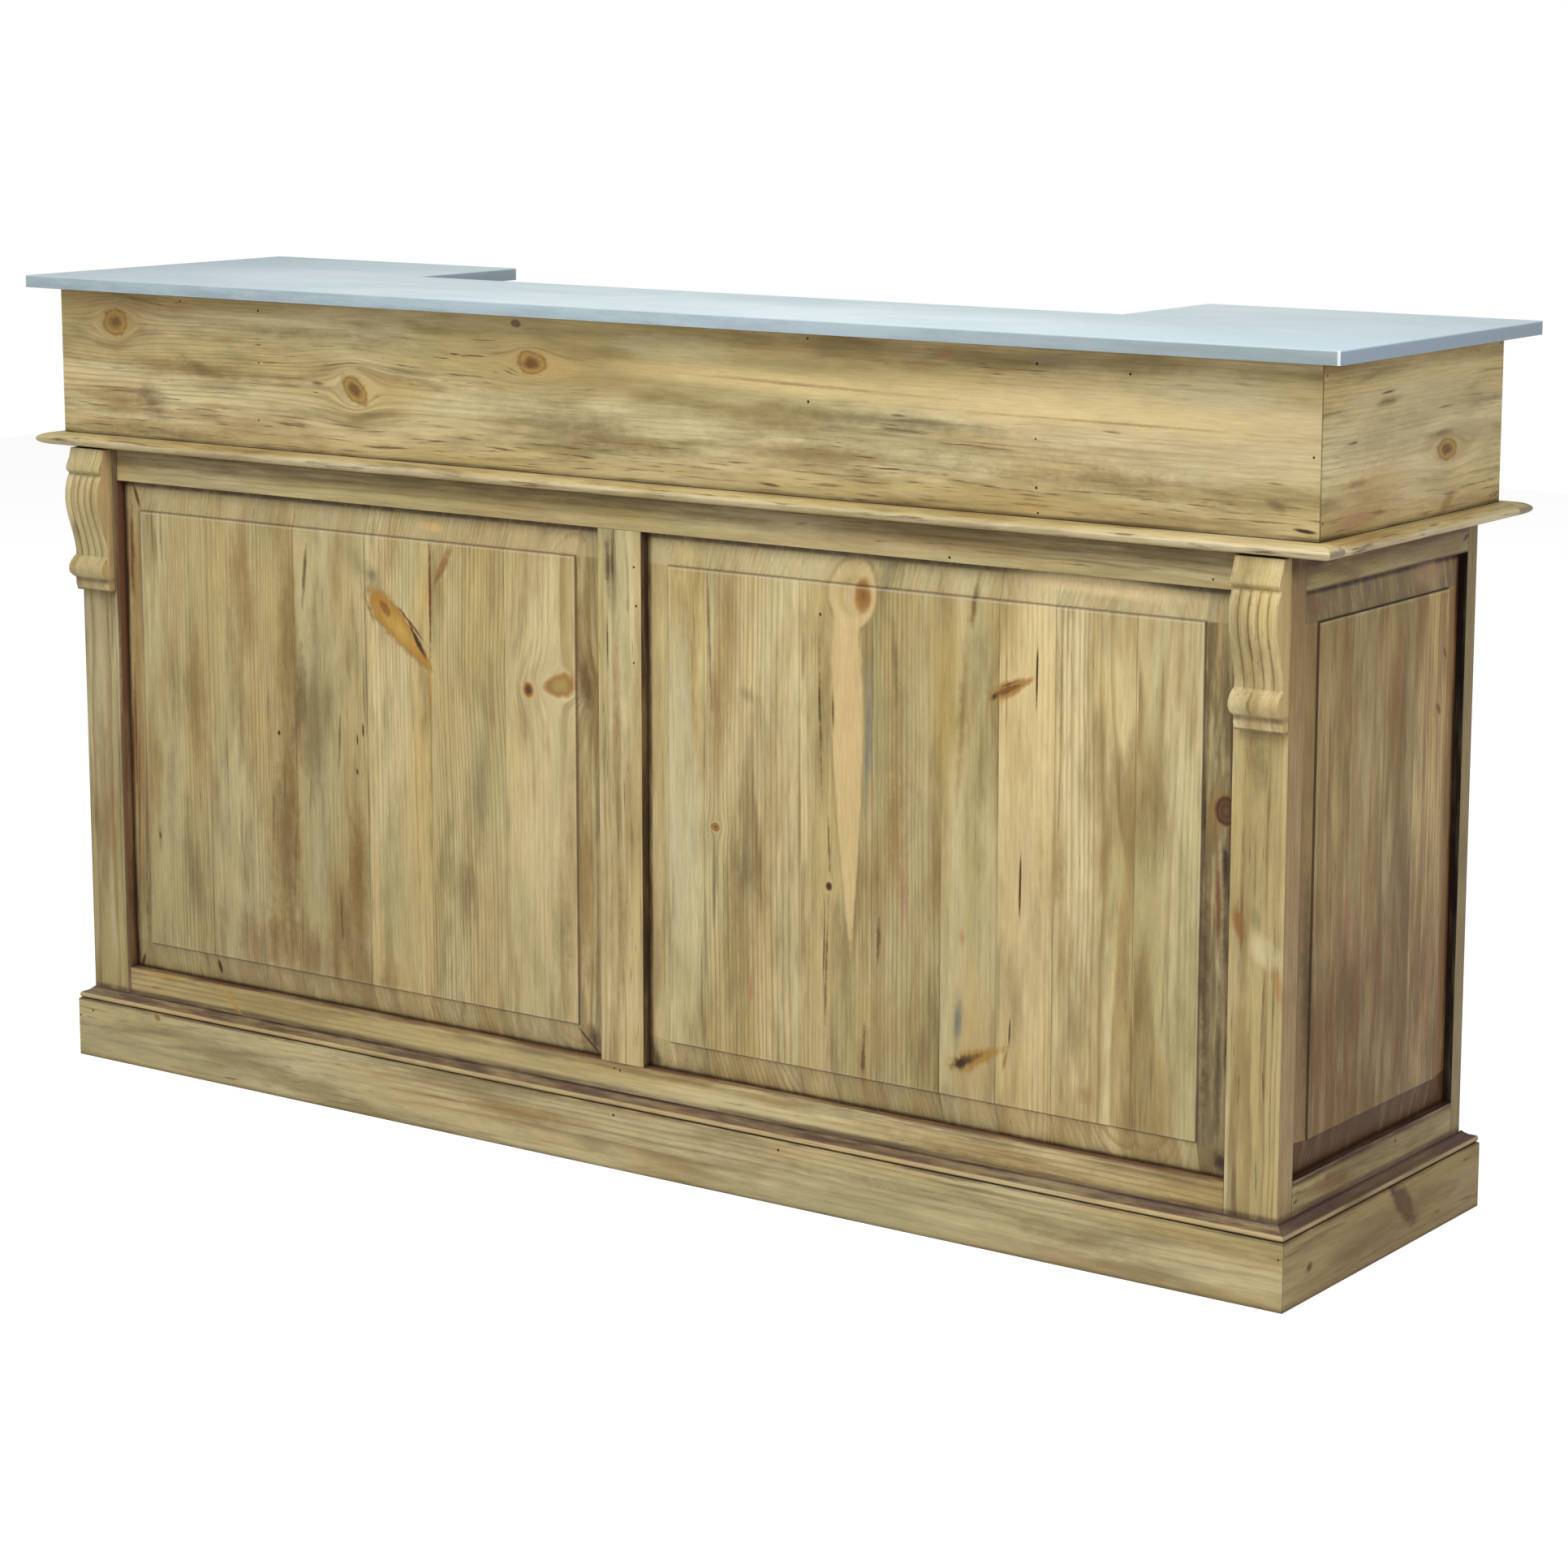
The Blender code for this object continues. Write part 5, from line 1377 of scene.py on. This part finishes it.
# Geometry Nodes put a shallow head on each point, turned to the face that it is driven into
def nailTree(material):
    tree = bpy.data.node_groups.new("nailHeads", "GeometryNodeTree")
    tree.interface.new_socket(name="Geometry", in_out="OUTPUT", socket_type="NodeSocketGeometry")
    tree.interface.new_socket(name="Geometry", in_out="INPUT", socket_type="NodeSocketGeometry")
    for name in ("Head Diameter", "Head Height", "Size Spread"):
        tree.interface.new_socket(name=name, in_out="INPUT", socket_type="NodeSocketFloat")
    for name in ("Sides", "Seed"):
        tree.interface.new_socket(name=name, in_out="INPUT", socket_type="NodeSocketInt")
    given = node(tree, "NodeGroupInput").outputs
    points = node(tree, "GeometryNodeMeshToPoints", {"Mesh": given["Geometry"]}).outputs[0]
    half = times(tree, given["Head Diameter"], 0.5)
    crown = times(tree, half, 0.7)
    sizes = {"Radius Top": crown, "Radius Bottom": half, "Depth": given["Head Height"]}
    sizes["Vertices"] = given["Sides"]
    head = node(tree, "GeometryNodeMeshCone", sizes, fill_type="NGON").outputs[0]
    kind = "GeometryNodeInputNamedAttribute"
    facing = node(tree, kind, {"Name": "facing"}, data_type="FLOAT_VECTOR").outputs[0]
    turn = node(tree, "FunctionNodeAlignRotationToVector", {"Vector": facing}, axis="Z").outputs[0]
    smallest = minus(tree, 1.0, given["Size Spread"])
    chance = {2: smallest, 3: 1.0, "Seed": given["Seed"]}
    dice = node(tree, "FunctionNodeRandomValue", chance, data_type="FLOAT")
    inputs = {"Points": points, "Instance": head, "Rotation": turn, "Scale": dice.outputs[1]}
    heads = node(tree, "GeometryNodeInstanceOnPoints", inputs).outputs[0]
    solid = node(tree, "GeometryNodeRealizeInstances", {"Geometry": heads}).outputs[0]
    painted = node(tree, "GeometryNodeSetMaterial", {"Geometry": solid, "Material": material}).outputs[0]
    node(tree, "NodeGroupOutput", {"Geometry": painted})
    return tree


def makeNails():
    places, facings = [], []
    for wall in nailSpots.values():
        outward = Vector((0.0, -1.0, 0.0)) if wall["face"] == "y" else Vector((1.0, 0.0, 0.0))
        for name, spotAt in wall.items():
            if name not in ("face", "level"):
                places.append(fromPhoto(spotAt, wall["face"], wall["level"]) - outward * nailSizes["sunk"])
                facings.append(outward)
    mesh = bpy.data.meshes.new("nailPlaces")
    mesh.from_pydata(places, [], [])
    mesh.attributes.new("facing", "FLOAT_VECTOR", "POINT")
    for item, facing in zip(mesh.attributes["facing"].data, facings):
        item.vector = facing
    holder = addObject("nailPlaces", mesh)
    tree = nailTree(ironMaterial())
    values = {
        "Head Diameter": nailSizes["headDiameter"],
        "Head Height": nailSizes["headHeight"],
        "Size Spread": nailSizes["sizeSpread"],
        "Sides": nailSizes["sides"],
        "Seed": nailSizes["seed"],
    }
    modifier = holder.modifiers.new("nailHeads", "NODES")
    modifier.node_group = tree
    for item in tree.interface.items_tree:
        if item.in_out == "INPUT" and item.name in values:
            modifier[item.identifier] = values[item.name]
    graph = bpy.context.evaluated_depsgraph_get()
    heads = bpy.data.meshes.new_from_object(holder.evaluated_get(graph))
    bpy.data.objects.remove(holder)
    nails = addObject("nail_heads", heads)
    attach(nails, "root")
    print(len(places), "nail heads,", len(heads.polygons), "faces")


makeNails()


# A white floor, soft white light all round, a broad light overhead and a weak one from the right
def makeStudio():
    look = dict(
        floorSize=14.0, floorGlow=0.55, worldLight=0.40, aim=Vector((0.2, 0.0, 0.7)),
        keyPower=192.0, keySize=4.0, keyPlace=(0.9, -2.2, 4.7),
        fillPower=30.0, fillSize=3.0, fillPlace=(4.5, -0.5, 2.6),
    )
    bm = bmesh.new()
    bmesh.ops.create_grid(bm, x_segments=1, y_segments=1, size=look["floorSize"] / 2)
    mesh = bpy.data.meshes.new("studioFloor")
    bm.to_mesh(mesh)
    bm.free()
    floor = addObject("studioFloor", mesh)
    material, tree, shader = newMaterial("paleFloor")
    shader.inputs["Base Color"].default_value = (0.9, 0.9, 0.9, 1.0)
    shader.inputs["Roughness"].default_value = 0.9
    shader.inputs["Emission Color"].default_value = (1.0, 1.0, 1.0, 1.0)
    seen = node(tree, "ShaderNodeLightPath").outputs["Is Camera Ray"]
    tree.links.new(times(tree, seen, look["floorGlow"]), shader.inputs["Emission Strength"])
    mesh.materials.append(material)

    world = bpy.data.worlds.new("whiteRoom")
    world.use_nodes = True
    tree = world.node_tree
    background = tree.nodes["Background"]
    background.inputs["Color"].default_value = (1.0, 1.0, 1.0, 1.0)
    background.inputs["Strength"].default_value = look["worldLight"]
    white = node(tree, "ShaderNodeBackground", {0: (1.0, 1.0, 1.0, 1.0), 1: 1.0}).outputs[0]
    seen = node(tree, "ShaderNodeLightPath").outputs["Is Camera Ray"]
    mixed = node(tree, "ShaderNodeMixShader", {0: seen, 1: background.outputs[0], 2: white}).outputs[0]
    tree.links.new(mixed, tree.nodes["World Output"].inputs["Surface"])
    bpy.context.scene.world = world

    for name in ("key", "fill"):
        lamp = bpy.data.lights.new(name + "Light", "AREA")
        lamp.energy = look[name + "Power"]
        lamp.size = look[name + "Size"]
        holder = addObject(name + "Light", lamp)
        holder.location = look[name + "Place"]
        holder.rotation_euler = (look["aim"] - holder.location).to_track_quat("-Z", "Y").to_euler()


def makeCamera():
    data = bpy.data.cameras.new("photoCamera")
    data.sensor_width = 36.0
    data.lens = photo["focal"] * data.sensor_width / photo["side"]
    middle = photo["side"] / 2
    data.shift_x = (middle - photo["centre"][0]) / photo["side"]
    data.shift_y = (photo["centre"][1] - middle) / photo["side"]
    camera = addObject("photoCamera", data)
    turn = Matrix((photo["right"], -photo["down"], -photo["forward"])).transposed()
    camera.rotation_euler = turn.to_euler()
    camera.location = photo["place"]
    bpy.context.scene.camera = camera


makeStudio()
makeCamera()
bpy.context.scene.view_settings.view_transform = "Standard"
print("studio done")
